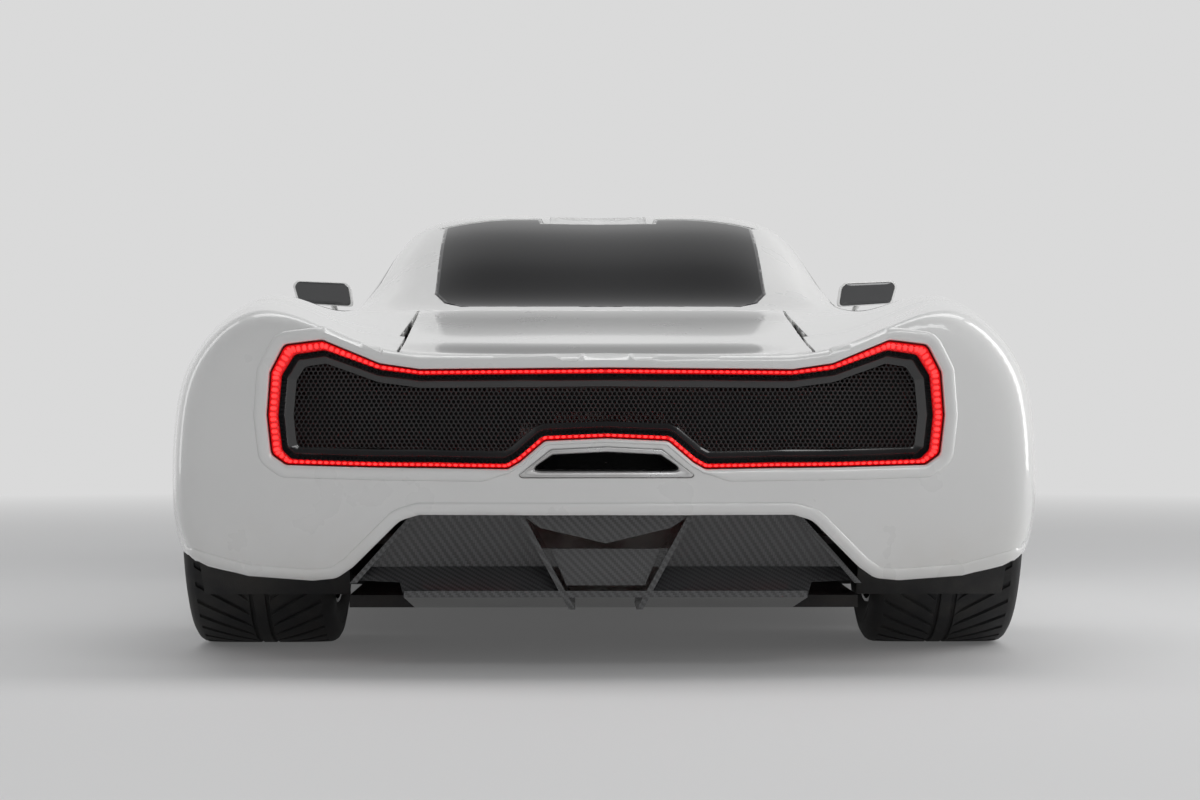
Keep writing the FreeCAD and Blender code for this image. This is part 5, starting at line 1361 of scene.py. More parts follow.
@dataclass(frozen=True)
class TailLamp(SubAssembly):
    """Lit ring round the tail mesh, with a red cover and a row of brighter cells."""

    seal: float = .0028
    step: float = .0022
    round_radius: float = .018
    crown: float = .004
    base: float = .0115
    back: float = .034
    cell_pitch: float = .0132
    cell_half: float = .0042
    scallop: float = .0016

    def build(self) -> None:
        """Make the seal, the cover and the cells."""
        edge = mirrored_outline(RING_SHARES)
        outer = rounded_outline(grown_corners(edge, -.0004), self.round_radius, self.step)
        cover_edge = rounded_outline(grown_corners(edge, -.0004 - self.seal), self.round_radius, self.step / 2)
        inner_fine = rounded_outline(mirrored_outline(RING_INNER_SHARES), self.round_radius * .8, self.step / 2)
        cover = partners(outer, cover_edge)
        inner = partners(cover, inner_fine)
        self._seal(outer, cover)
        self._cover(cover, inner)
        self._cells(cover, inner)

    def _seal(self, outer: Array, cover: Array) -> None:
        """Black seal between the body and the cover."""
        profile = [(0, self.base - .001), (.5, self.base - .0025), (1, self.base + .003)]
        piece = band("ring_seal", outer, cover, profile, self.shop.skin.toward_tail)
        self.dress(piece, "black_mesh", "gloss_black")

    def _cover(self, cover: Array, inner: Array) -> None:
        """Red cover with a crowned face and a scalloped inner edge."""
        places = np.arange(len(cover)) * self.step
        wave = np.abs(np.sin(pi * places / self.cell_pitch))[:, None]
        width = np.linalg.norm(inner - cover, axis=1, keepdims=True)
        edge = inner + (cover - inner) / width * self.scallop * wave
        profile = [(0, self.back), (0, self.base)]
        for t in (.12, .3, .5, .7, .88):
            profile.append((t, self.base - self.crown * sin(pi * t)))
        profile += [(1, self.base), (1, self.back)]
        piece = band("ring_cover", cover, edge, profile, self.shop.skin.toward_tail)
        self.dress(piece, "lamp_red", "red_cover", ("light_ring",))

    def _cells(self, cover: Array, inner: Array) -> None:
        """Bright cells under the crown of the cover."""
        stride = self.cell_pitch / self.step
        count = int(len(cover) / stride)
        middle = (cover + inner) / 2
        way = unit_rows(np.roll(middle, -2, axis=0) - np.roll(middle, 2, axis=0))
        angles = np.arange(8) * pi / 4 + pi / 8
        low, high = [], []
        for k in range(count):
            spot = round((k + .5) * stride) % len(cover)
            across = (inner[spot] - cover[spot]) * .3
            along = way[spot] * self.cell_half
            shape = [middle[spot] + along * max(min(1.25 * cos(a), 1), -1)
                + across * max(min(1.25 * sin(a), 1), -1) for a in angles]
            low += shape
            high += [middle[spot] + .78 * (p - middle[spot]) for p in shape]
        skin = self.shop.skin
        face = self.base - self.crown
        base_row = skin.toward_tail(np.array(low), face + .001)
        top_row = skin.toward_tail(np.array(high), face - .0012)
        faces = []
        total = len(low)
        for start in range(0, total, 8):
            faces.append(tuple(range(total + start, total + start + 8)))
            for j in range(8):
                a, b = start + j, start + (j + 1) % 8
                faces.append((a, b, b + total, a + total))
        piece = mesh_object("ring_cells", np.concatenate([base_row, top_row]), faces)
        smooth_by_angle(piece, 50.0)
        self.dress(piece, "lamp_red", "red_led")


def outline_ways(points: Array) -> Array:
    """Outward directions along a closed outline of evenly spaced points."""
    ahead, behind = np.roll(points, -1, axis=0), np.roll(points, 1, axis=0)
    area = (points[:, 0] * ahead[:, 1] - ahead[:, 0] * points[:, 1]).sum()
    along = unit_rows(ahead - behind)
    return np.stack([along[:, 1], -along[:, 0]], 1) * np.sign(area)


@dataclass(frozen=True)
class Fascia(SubAssembly):
    """Raised lips of the tail: one round the light ring, and one along the lower edge."""

    width: float = .027
    narrow: float = .0085
    step: float = .0045
    profile: tuple[Flat, ...] = ((0, .0014), (.04, -.0012), (.12, -.003), (.28, -.0042), (.5, -.004),
        (.76, -.0022), (.94, 0.0), (1, .002), (1, .009))

    def build(self) -> None:
        """Make both lips."""
        skin = self.shop.skin
        ring = rounded_outline(mirrored_outline(RING_SHARES), .018, self.step)
        low = np.clip((np.abs(ring[:, 0]) - .2) / .07, 0, 1)
        share = np.where(ring[:, 1] > .56, 1.0, low * low * (3 - 2 * low))
        width = self.narrow + (self.width - self.narrow) * share
        outer = ring + outline_ways(ring) * width[:, None]
        piece = band("ring_lip", outer, ring, list(self.profile), skin.toward_tail)
        self.dress(piece, "body_paint", "gloss_paint")
        self._lower_lip()

    def _lower_lip(self) -> None:
        """Lip along the lower edge of the tail, over the diffuser."""
        skin = self.shop.skin
        closed = BUMPER_EDGE_SHARES + [(1.1, -.1), (0, -.1)]
        edge = rounded_outline(mirrored_outline(closed), .045, self.step)
        kept = (np.abs(edge[:, 0]) < .925) & (edge[:, 1] > .1)
        start = int(np.flatnonzero(kept & ~np.roll(kept, 1))[0])
        count = int(np.argmin(np.roll(kept, -start)))
        edge, ways = [np.roll(lines, -start, axis=0)[:count] for lines in (edge, outline_ways(edge))]
        rows = [skin.toward_tail(edge + ways * self.width * (1 - share), depth) for share, depth in self.profile]
        piece = rows_mesh("lower_lip", rows, closed=False, flip=True)
        self.dress(piece, "body_paint", "gloss_paint")


@dataclass(frozen=True)
class TailMesh(SubAssembly):
    """Black mesh inside the light ring, with the shroud that leads in to it."""

    border: float = .026
    mouth: float = .015
    depth: float = .045
    sheet: CellSheet = CellSheet(.0102, .74, .005, .0007)

    def build(self) -> None:
        """Make the shroud, the mesh, and a near-black plate behind it as painted shade."""
        skin = self.shop.skin
        corners = mirrored_outline(RING_INNER_SHARES)
        edge = rounded_outline(grown_corners(corners, -.0006), .014, .004)
        lip_fine = rounded_outline(grown_corners(corners, -self.border), .016, .002)
        lip = partners(edge, lip_fine)
        profile = [(0, self.mouth), (.1, self.mouth + .006), (.3, self.mouth + .0165), (.6, self.mouth + .0255),
            (.92, self.depth - .0022), (1, self.depth - .0012), (1, self.depth + .004)]
        shroud = band("mesh_shroud", edge, lip, profile, skin.toward_tail)
        self.dress(shroud, "black_mesh", "gloss_black")
        region = rounded_outline(grown_corners(corners, -self.border + .006), .016, .004)
        cells = self.sheet.cut("tail_mesh", region, skin.toward_tail, self.depth)
        self.dress(cells, "black_mesh", "mesh_black", ("rear_mesh",))
        # Near-black plate behind the holes: painted shade for the depth behind the mesh.
        plate = CellSheet(.03, 1.0, 0, 0).cut("tail_mesh_back", region, skin.toward_tail, self.depth + .014, False)
        self.dress(plate, "black_mesh", "void_black")


@dataclass(frozen=True)
class Exhaust(SubAssembly):
    """Central tail pipe with a satin trim, and a near-black cap in its throat as painted shade."""

    proud: float = .0038
    throat: float = .112
    step: float = .003

    def build(self) -> None:
        """Make the trim, the pipe, and a near-black cap at its end as painted shade."""
        skin = self.shop.skin
        corners = mirrored_outline(EXHAUST_SHARES)
        inner_corners = mirrored_outline(EXHAUST_INNER_SHARES)
        outer = rounded_outline(corners, .016, self.step)
        inner = partners(outer, rounded_outline(inner_corners, .012, self.step / 3))
        face = [(share, -self.proud + depth) for share, depth in (
            (.03, .0022), (.12, .0006), (.22, 0), (.34, .0002), (.36, .0012), (.4, .0012), (.42, .0002), (.6, .0006),
            (.82, .0022), (.95, .0048))]
        profile = [(0, .04), (0, .003), *face, (1, .006), (1, .03)]
        trim = band("exhaust_trim", outer, inner, profile, skin.toward_tail)
        self.dress(trim, "satin_metal", "satin_metal", ("exhaust",))
        rows = [skin.toward_tail(inner, .029)]
        for share, extra in ((.96, .02), (.9, .05), (.9, self.throat - .03)):
            rows.append(upright(drawn_row(inner, share), rows[0][:, 1] + extra))
        pipe = rows_mesh("exhaust_pipe", rows, flip=True)
        self.dress(pipe, "satin_metal", "pipe_soot")
        # Near-black cap that closes the pipe: painted shade for the depth of its throat.
        end = rows_mesh("exhaust_end", [rows[-1], drawn_row(rows[-1], .35), drawn_row(rows[-1], .02)], flip=True)
        self.dress(end, "satin_metal", "void_black")


@dataclass(frozen=True)
class NoseGrilles(SubAssembly):
    """Black meshes in the three openings of the nose."""

    depth: float = .045
    sheet: CellSheet = CellSheet(.015, .76, .006, .001)

    def build(self) -> None:
        """Make the frames, the meshes, and near-black plates behind them as painted shade."""
        skin = self.shop.skin
        half = np.array(SIDE_INTAKE_SHARES) * [skin.sizes.half_width, skin.sizes.height]
        openings = {"middle": mirrored_outline(INTAKE_SHARES), "right": half, "left": half * [-1, 1]}
        frames, meshes, plates = [], [], []
        for word, corners in openings.items():
            edge = rounded_outline(grown_corners(corners, -.0006), .024, .006)
            lip = partners(edge, rounded_outline(grown_corners(corners, -.016), .016, .003))
            flip = word == "left"
            profile = [(0, .006), (.08, .012), (.35, .03), (.8, self.depth - .003), (1, self.depth - .0015),
                (1, self.depth + .004)]
            frames.append(band(f"frame_{word}", edge, lip, profile, skin.toward_nose, flip))
            region = rounded_outline(grown_corners(corners, -.011), .02, .006)
            meshes.append(self.sheet.cut(f"mesh_{word}", region, skin.toward_nose, self.depth, flip=False))
            # Near-black plates behind the meshes: painted shade for the depth of the openings.
            plates.append(CellSheet(.024, 1.0, 0, 0).cut(f"plate_{word}", region, skin.toward_nose,
                self.depth + .018, False, False))
        self.dress(joined("nose_frames", frames), "black_mesh", "gloss_black")
        self.dress(joined("nose_meshes", meshes), "black_mesh", "mesh_black", ("front_grille",))
        self.dress(joined("nose_backs", plates), "black_mesh", "void_black")


@dataclass(frozen=True)
class TyreSizes:
    """Sizes of one tyre and of the rim inside it."""

    radius: float
    width: float
    rim_radius: float = .258
    crown: float = .004
    tread_inset: float = .018
    pitches: int = 42
    groove: float = .0062
    sweep: float = 2.6


@dataclass(frozen=True)
class Wheel(SubAssembly):
    """One wheel: tyre with a directional tread, forged rim, disc with dark spots for drill holes as painted shade,
    and caliper.
    """

    word: str
    side: Side
    tyre: TyreSizes
    centre: Point
    caliper_body: str
    spokes: int = 5
    disc_radius: float = .19

    def build(self) -> None:
        """Make every piece of the wheel."""
        name = f"{self.word}_{self.side.word}"
        body = f"wheel_{name}"
        tyre = self._tyre(name)
        self.dress(tyre, "tyre_rubber", "tyre_rubber", (f"{self.word}_tyre_{self.side.word}",), body)
        rim = self._rim(name)
        self.dress(rim, "rim_alloy", "rim_alloy", (f"{self.word}_rim_{self.side.word}",), body)
        self.dress(self._disc(name), "rim_alloy", "brake_disc", body=body)
        self.dress(self._bolts(name), "rim_alloy", "cast_steel", body=body)
        self.dress(self._caliper(name), "cast_steel", "brake_caliper", body=self.caliper_body)

    def _place(self, a: float | Array, r: float | Array, angle: float | Array) -> Array:
        """Points at places along the axle, radii and angles round it."""
        a, r, angle = np.broadcast_arrays(a, r, angle)
        x, y, z = self.centre
        return np.stack([x + self.side.value * a, y + r * np.sin(angle), z + r * np.cos(angle)], -1)

    def _turned(self, name: str, profile: list[Flat], angles: Array) -> Piece:
        """Shape turned about the axle, from its section as (place along the axle, radius)."""
        rows = [self._place(a, r, angles) for a, r in profile]
        return rows_mesh(name, rows, flip=self.side is Side.RIGHT)

    def _tyre(self, name: str) -> Piece:
        """Tyre with V grooves that run out from a centre rib."""
        t = self.tyre
        half = t.width / 2
        tread = half - t.tread_inset
        shares = [0, .085, .1, .14, .155, .27, .4, .52, .64, .76, .87, .925, .94, 1.0]
        shares = [-s for s in reversed(shares[1:])] + shares
        parts = [0, .035, .24, .275, .46, .64, .82]
        angles = np.array([p + f for p in range(t.pitches) for f in parts]) * tau / t.pitches
        deep_line = np.array([f in (.035, .24) for _ in range(t.pitches) for f in parts])
        edge_drop = .0042
        rows = []
        side_profile = [(half - inset, drop) for inset, drop in (
            (.0105, .0098), (.0035, .0215), (.0002, .036), (0, .046), (.0012, .0475), (.0014, .05), (.0002, .0515),
            (.0022, .064), (.0065, .08), (.012, .0915), (.015, .0985), (.022, .104))]
        turn = t.sweep * tau / t.pitches
        for a, drop in reversed(side_profile):
            rows.append(self._place(-a, t.radius - drop, angles + turn))
        for share in shares:
            reach = abs(share)
            radius = t.radius - .0002 - t.crown * .55 * reach ** 4 - (edge_drop * .5 if reach == 1 else 0)
            drop = np.zeros(len(angles))
            if .1 <= reach <= .14:
                drop[:] = t.groove
            elif .16 < reach <= .925:
                drop[deep_line] = t.groove * (1 if reach < .9 else .7)
            rows.append(self._place(share * tread, radius - drop, angles + turn * reach ** .8))
        for a, drop in side_profile:
            rows.append(self._place(a, t.radius - drop, angles + turn))
        return rows_mesh(f"tyre_{name}", rows, flip=self.side is Side.RIGHT)

    def _rim(self, name: str) -> Piece:
        """Barrel with its lips, paired spokes and hub."""
        half = self.tyre.width / 2
        rim = self.tyre.rim_radius
        angles = turns(120)
        barrel = [(end * (half - inset), rim + out) for end, inset, out in (
            (-1, .016, -.0005), (-1, .0135, .003), (-1, .0115, .001), (-1, .0125, -.006), (-1, .02, -.012),
            (-1, .05, -.0155), (1, .06, -.0185), (1, .032, -.015), (1, .021, -.0085), (1, .0155, -.006),
            (1, .0128, -.0015), (1, .0115, .0028), (1, .0135, .0048), (1, .0165, .0005))]
        pieces = [self._turned("barrel", barrel, angles)]
        face = half - .028
        hub = [(face + out, radius) for out, radius in (
            (-.034, .0005), (-.034, .07), (-.026, .0735), (-.01, .07), (-.0035, .064), (-.001, .058), (-.003, .0555),
            (-.003, .0375), (.0005, .036), (.003, .033), (.0045, .028), (.005, .0005))]
        pieces.append(self._turned("hub", hub, angles[::2]))
        for k in range(self.spokes):
            for lean in (-1, 1):
                pieces.append(self._spoke(tau * k / self.spokes, lean, face))
        return joined(f"rim_{name}", pieces)

    def _spoke(self, turn: float, lean: int, face: float) -> Piece:
        """One spoke, broad at its root, hollowed a little in the middle and flared at the barrel."""
        rows = []
        section = [(1, .55), (.86, .86), (.55, 1), (-.55, 1), (-.86, .86), (-1, .55), (-1, -.7), (-.7, -1),
            (.7, -1), (1, -.7)]
        for t in (0, .06, .16, .3, .45, .6, .75, .87, .95, 1.0):
            radius = .052 + t * (self.tyre.rim_radius - .015 - .052)
            side = lean * (.012 + .05 * t ** 1.15)
            width = .015 - .005 * sin(pi * min(t * 1.05, 1)) + .006 * max(t - .8, 0) / .2
            depth = .016 - .0045 * t
            front = face - .003 - .011 * sin(pi * t) + .006 * t
            spin = turn + atan2(side, radius)
            reach = hypot(side, radius)
            u, v = np.array(section).T
            rows.append(self._place(front - depth + v * depth, reach, spin + u * width / reach))
        return rows_mesh("spoke", rows, caps=True, flip=self.side is Side.LEFT)

    def _disc(self, name: str) -> Piece:
        """Brake disc with a bell and a groove round its edge."""
        outer = self.disc_radius
        profile = [(-.001, .06), (.012, .062), (.012, .084), (.008, .088), (-.0005, .0895), (-.0005, .104),
            (0, .106), (0, outer - .002), (-.0015, outer), (-.0095, outer), (-.0105, outer - .006),
            (-.0195, outer - .006), (-.0205, outer), (-.0285, outer), (-.03, outer - .002), (-.03, .106),
            (-.028, .09), (-.028, .06)]
        return self._turned(f"disc_{name}", profile, turns(96))

    def _bolts(self, name: str) -> Piece:
        """Wheel bolts on the hub, and dark spots on the disc that stand in for its drill holes as painted shade."""
        bolts_and_hole_shades = []
        face = self.tyre.width / 2 - .031
        spots = [(.0465, tau * (k + .5) / 5, face, .0085, .011, 6) for k in range(5)]
        # Rings of dark spots on the disc face: painted shade standing in for drill holes, which are not cut.
        for ring, radius in enumerate((.12, .137, .154, .171)):
            for k in range(18):
                spots.append((radius, tau * (k + .28 * ring) / 18, 0.0, .0036, .0005, 8))
        for radius, turn, base, size, tall, sides in spots:
            corners = np.arange(sides) * tau / sides
            rows = []
            for share, level in ((1, base - .002), (1, base + tall - .0002), (.8, base + tall)):
                up, side = radius + share * size * np.cos(corners), share * size * np.sin(corners)
                rows.append(self._place(level, np.hypot(side, up), turn + np.arctan2(side, up)))
            bolts_and_hole_shades.append(rows_mesh("stud", rows, caps=True, flip=self.side is Side.LEFT))
        return joined(f"studs_{name}", bolts_and_hole_shades)

    def _caliper(self, name: str) -> Piece:
        """Caliper that straddles the disc behind the axle, with rounded shoulders and ribs."""
        inner, over, outer = .122, self.disc_radius + .007, .236
        section = [(-.055, inner), (-.055, over + .014), (-.048, outer - .006), (-.04, outer), (.012, outer),
            (.021, outer - .006), (.027, over + .014), (.027, inner), (.0075, inner), (.0065, over),
            (-.0365, over), (-.0375, inner)]
        rows = []
        for t in np.linspace(-1, 1, 19):
            angle = -pi / 2 + t * radians(25.0)
            taper = 1 - .1 * abs(t) ** 6
            rib = .0022 * (1 if round((t + 1) * 9) % 4 == 2 else 0)
            a, r = np.array(section).T
            radius = inner + (r - inner) * taper + np.where(r > over + .02, rib, 0)
            rows.append(self._place(-.014 + (a + .014) * taper, radius, angle))
        return rows_mesh(f"caliper_{name}", rows, caps=True, flip=self.side is Side.RIGHT)


@dataclass(frozen=True)
class RunningGear(SubAssembly):
    """Four wheels with their brakes."""

    front: TyreSizes = TyreSizes(.343, .265)
    rear: TyreSizes = TyreSizes(.357, .345)
    front_x: float = .8195
    rear_x: float = .8035

    def build(self) -> None:
        """Make the wheels."""
        for side in Side:
            front_place = (side.value * self.front_x, CAR.front_axle, self.front.radius)
            rear_place = (side.value * self.rear_x, CAR.rear_axle, self.rear.radius)
            Wheel(self.shop, "front", side, self.front, front_place, f"knuckle_{side.word}").build()
            Wheel(self.shop, "rear", side, self.rear, rear_place, "body").build()


@dataclass(frozen=True)
class Mirrors(SubAssembly):
    """Door mirrors with a rounded shell, a pale rim and dark glass."""

    outline: tuple[Flat, ...] = ((.775, .781), (.955, .791), (.972, .842), (.96, .856), (.8, .85), (.785, .837))
    depth: float = .118

    def build(self) -> None:
        """Make both mirrors."""
        for side in Side:
            self._mirror(side)

    def _mirror(self, side: Side) -> None:
        """Make one mirror."""
        node = f"mirror_{side.word}"
        y0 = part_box(node)[0][1]
        corners = np.array(self.outline) * [CAR.half_width * side.value, CAR.height]
        edge = rounded_outline(corners, .014, .006)
        middle = (edge.max(0) + edge.min(0)) / 2
        stations = [(0.0, .935), (.0004, .985), (.004, 1.0), (.02, 1.0), (.045, .965), (.07, .89), (.09, .78),
            (.105, .63), (.114, .42), (self.depth, .12)]
        rows = [self._row(edge, middle, share, y0 + y) for y, share in stations]
        shell = rows_mesh(f"mirror_shell_{side.word}", rows, caps=True, flip=side is Side.LEFT)
        whole = joined(f"mirror_case_{side.word}", [shell, self._stalk(side, y0)])
        body = f"door_{side.word}"
        self.dress(whole, "body_paint", "gloss_paint", (node,), body)
        glass_rows = [self._row(edge, middle, share, y0 + y) for share, y in
            ((.925, .0012), (.92, -.0004), (.9, -.0008), (.5, -.0008), (.0005, -.0008))]
        glass = rows_mesh(f"mirror_glass_{side.word}", glass_rows, flip=side is Side.RIGHT)
        self.dress(glass, "dark_glass", "mirror_glass", body=body)

    def _row(self, edge: Array, middle: Array, share: float, y: float) -> Array:
        """The outline drawn in to a share of itself, at one place along the car."""
        return upright(middle + (edge - middle) * share, y)

    def _stalk(self, side: Side, y0: float) -> Piece:
        """Blade that holds the mirror to the door."""
        way = side.value
        base = Vector((way * .805, y0 + .06, .655 * CAR.height - .012))
        tip = Vector((way * .85, y0 + .058, .796 * CAR.height))
        rows = []
        angles = turns(20)
        for t in (0, .15, .35, .6, .85, 1):
            spot = base.lerp(tip, t)
            spot.x -= way * .01 * sin(pi * t)
            along, across = .034 - .012 * t, .0105 - .002 * sin(pi * t)
            rows.append(np.stack([spot.x + across * np.cos(angles), spot.y + along * np.sin(angles),
                np.full(len(angles), spot.z)], 1))
        return rows_mesh("stalk", rows, caps=True)


@dataclass(frozen=True)
class Headlamps(SubAssembly):
    """Front lamps: a smoked cover, a light blade and three projectors."""

    drop: float = .02

    def build(self) -> None:
        """Make both lamps."""
        shaper = Shaper(self.shop.skin, roll_width=.004, roll_depth=.0006)
        cover = shaper.shaped(self.shop.node("headlamps"), "headlamp_covers")
        self.dress(cover, "lamp_clear", "smoked_lens", ("headlamps",))
        blades, domes = [], []
        for side in Side:
            blades.append(self._blade(side))
            domes += self._domes(side)
        self.dress(joined("headlamp_blades", blades), "lamp_clear", "white_led")
        self.dress(joined("headlamp_domes", domes), "lamp_clear", "clear_lens")

    def _on_skin(self, side: Side, along: float, across: float) -> tuple[Vector, Vector]:
        """Place and normal of the skin under a place seen from above, in shares."""
        start = Vector((side.value * across * CAR.half_width, CAR.along(along), 3.0))
        spot, normal, _, _ = self.shop.skin.tree.ray_cast(start, Vector((0, 0, -1)))
        if normal.z < 0:
            normal = -normal
        return spot, normal

    def _blade(self, side: Side) -> Piece:
        """Slim light blade along the lamp's outer edge."""
        rows = []
        for t in np.linspace(0, 1, 25):
            spot, normal = self._on_skin(side, 1.7 - .255 * t, .585 + .245 * t ** .85)
            tip = .25 + .75 * sin(pi * min(max(t, .02), .98)) ** .5
            across = Vector((side.value * .6, .8, 0)).normalized()
            lift = spot + normal * .0006
            ring = [lift + across * (.0045 * tip * cos(a)) + normal * (.0016 * tip * sin(a))
                for a in turns(10)]
            rows.append(np.array(ring))
        return rows_mesh("blade", rows, caps=True)

    def _domes(self, side: Side) -> list[Piece]:
        """Three round projectors."""
        made = []
        for along, across, radius in ((1.64, .635, .019), (1.585, .69, .019), (1.525, .74, .017)):
            spot, normal = self._on_skin(side, along, across)
            first = normal.orthogonal().normalized()
            second = normal.cross(first)
            rows = []
            for share, lift in ((1.0, -.001), (1.0, .0008), (.93, .0016), (.82, .001), (.78, .0014), (.6, .0028),
                    (.35, .0038), (.08, .0042)):
                rows.append(np.array([spot + normal * lift + (first * cos(a) + second * sin(a)) * radius * share
                    for a in turns(32)]))
            made.append(rows_mesh("dome", rows))
        return made


@dataclass(frozen=True)
class Cushion:
    """One padded piece of a seat, blown up a little like stuffed cloth."""

    name: str
    centre: Point
    size: Point
    lean: float
    voxel: float = .0085
    pressure: float = 4.0
    cap: float = .012
    hollow: float = .018
    frames: int = 20

    def sewn(self) -> Piece:
        """Make the cushion."""
        points, faces = self._form()
        obj = mesh_object(self.name, points, faces)
        turn = Matrix.Translation(self.centre) @ Matrix.Rotation(radians(self.lean), 4, "X")
        obj.data.transform(turn)
        self._blow_up(obj)
        smooth_by_angle(obj, 60.0)
        subdivided = obj.modifiers.new("soft", "SUBSURF")
        subdivided.levels = 1
        subdivided.render_levels = 1
        return obj

    def _form(self) -> tuple[list[Point], list[tuple[int, ...]]]:
        """Rounded block with sewn channels across its face."""
        half = [s / 2 for s in self.size]
        counts = [max(round(s / (self.voxel * 2.0)), 4) for s in self.size]
        index: dict[tuple[int, int, int], int] = {}
        points: list[Point] = []
        faces: list[tuple[int, ...]] = []

        def corner(i: int, j: int, k: int) -> int:
            """Number of one grid point of the block's surface."""
            if (i, j, k) not in index:
                u, v, w = [2 * n / c - 1 for n, c in zip((i, j, k), counts)]
                index[i, j, k] = len(points)
                points.append(self._softened(u, v, w, half))
            return index[i, j, k]

        for axis in range(3):
            one, two = (axis + 1) % 3, (axis + 2) % 3
            for end in (0, counts[axis]):
                for a in range(counts[one]):
                    for b in range(counts[two]):
                        quad = []
                        for da, db in ((0, 0), (1, 0), (1, 1), (0, 1)):
                            place = [0, 0, 0]
                            place[axis], place[one], place[two] = end, a + da, b + db
                            quad.append(corner(*place))
                        faces.append(tuple(quad if end else quad[::-1]))
        return points, faces

    def _softened(self, u: float, v: float, w: float, half: list[float]) -> Point:
        """A point of a block from -1 to 1 each way, with round edges, bolsters and channels."""
        power = 5.0
        size = (abs(u) ** power + abs(v) ** power + abs(w) ** power) ** (1 / power)
        most = max(abs(u), abs(v), abs(w), 1e-6)
        pull = most / size
        x, y, z = u * pull, v * pull, w * pull
        if w > .2:
            dip = max(0.0, 1 - (abs(u) / .62) ** 4)
            channel = abs(sin(pi * 3.5 * (v + 1) / 2)) ** .35
            z -= (self.hollow * dip + .01 * (1 - channel) * dip) / half[2] * w
            x -= .012 * (1 - channel) * (abs(u) > .9) * copysign(1, u)
        return x * half[0], y * half[1], z * half[2]

    @staticmethod
    def _places(mesh: bpy.types.Mesh) -> Array:
        """Places of a mesh's points."""
        places = np.empty(len(mesh.vertices) * 3)
        mesh.vertices.foreach_get("co", places)
        return places.reshape(-1, 3)

    def _blow_up(self, obj: Piece) -> None:
        """Let the stuffing swell the cover for a few frames, cap how far any point moves, and keep the result."""
        before = self._places(obj.data)
        cloth = obj.modifiers.new("stuffing", "CLOTH")
        for word, value in (("use_pressure", True), ("uniform_pressure_force", self.pressure), ("quality", 4),
                ("mass", .3), ("tension_stiffness", 25.0), ("compression_stiffness", 25.0),
                ("shear_stiffness", 12.0), ("bending_stiffness", 3.0)):
            setattr(cloth.settings, word, value)
        cloth.settings.effector_weights.gravity = 0.0
        cloth.collision_settings.use_collision = False
        cloth.collision_settings.use_self_collision = False
        cloth.point_cache.frame_start = 1
        cloth.point_cache.frame_end = self.frames
        scene = bpy.context.scene
        for frame in range(1, self.frames + 1):
            scene.frame_set(frame)
        graph = bpy.context.evaluated_depsgraph_get()
        after = self._places(obj.evaluated_get(graph).to_mesh())
        obj.evaluated_get(graph).to_mesh_clear()
        obj.modifiers.remove(cloth)
        scene.frame_set(1)
        move = after - before
        size = np.linalg.norm(move, axis=1, keepdims=True)
        move *= np.minimum(1.0, self.cap / np.maximum(size, 1e-9))
        obj.data.vertices.foreach_set("co", (before + move).ravel())
        obj.data.update()
        LOG.info("%s: blown up by %.1f mm at most", self.name, float(np.minimum(size, self.cap).max()) * 1000)


@dataclass(frozen=True)
class Seats(SubAssembly):
    """Two bucket seats: a hard shell with padded cushions on it."""

    middle: float = .36

    def build(self) -> None:
        """Make both seats."""
        shells = []
        for side in Side:
            x = side.value * self.middle
            shells.append(self._shell(x))
            for word, centre, size, lean in (
                    ("squab", (x, .02, .245), (.4, .43, .11), 8.0),
                    ("backrest", (x, -.33, .54), (.4, .56, .11), 66.0),
                    ("headrest", (x, -.44, .845), (.23, .15, .08), 72.0)):
                hollow = .004 if word == "headrest" else .016
                cushion = Cushion(f"seat_{word}_{side.word}", centre, size, lean, hollow=hollow).sewn()
                self.dress(cushion, "seat_leather", "seat_leather")
        self.dress(joined("seat_shells", shells), "seat_leather", "seat_shell", ("seats",))

    def _shell(self, x: float) -> Piece:
        """Hard shell that wraps the cushions from behind and below."""
        path = [(.285, .205), (.2, .178), (.06, .168), (-.09, .166), (-.2, .19), (-.275, .27),
            (-.335, .4), (-.395, .55), (-.45, .7), (-.49, .82), (-.515, .905)]
        widths = [.205, .222, .232, .236, .238, .24, .24, .238, .215, .155, .105]
        wings = [.05, .085, .115, .12, .115, .105, .1, .11, .09, .03, .01]
        rows = []
        for k, (y, z) in enumerate(path):
            before, after = path[max(k - 1, 0)], path[min(k + 1, len(path) - 1)]
            along = Vector((0, after[0] - before[0], after[1] - before[1])).normalized()
            up = Vector((0, -along.z, along.y))
            if up.z < 0 and k < 4:
                up = -up
            ring = []
            for way, thick in ((1, 0), (-1, .01)):
                for u in np.linspace(-way, way, 17):
                    across = (widths[k] + thick) * copysign(min(abs(u) * 1.12, 1), u)
                    ring.append(Vector((x + across, y, z)) + up * (wings[k] * abs(u) ** 5 - thick))
            rows.append(np.array(ring))
        return rows_mesh("shell", rows, caps=True)


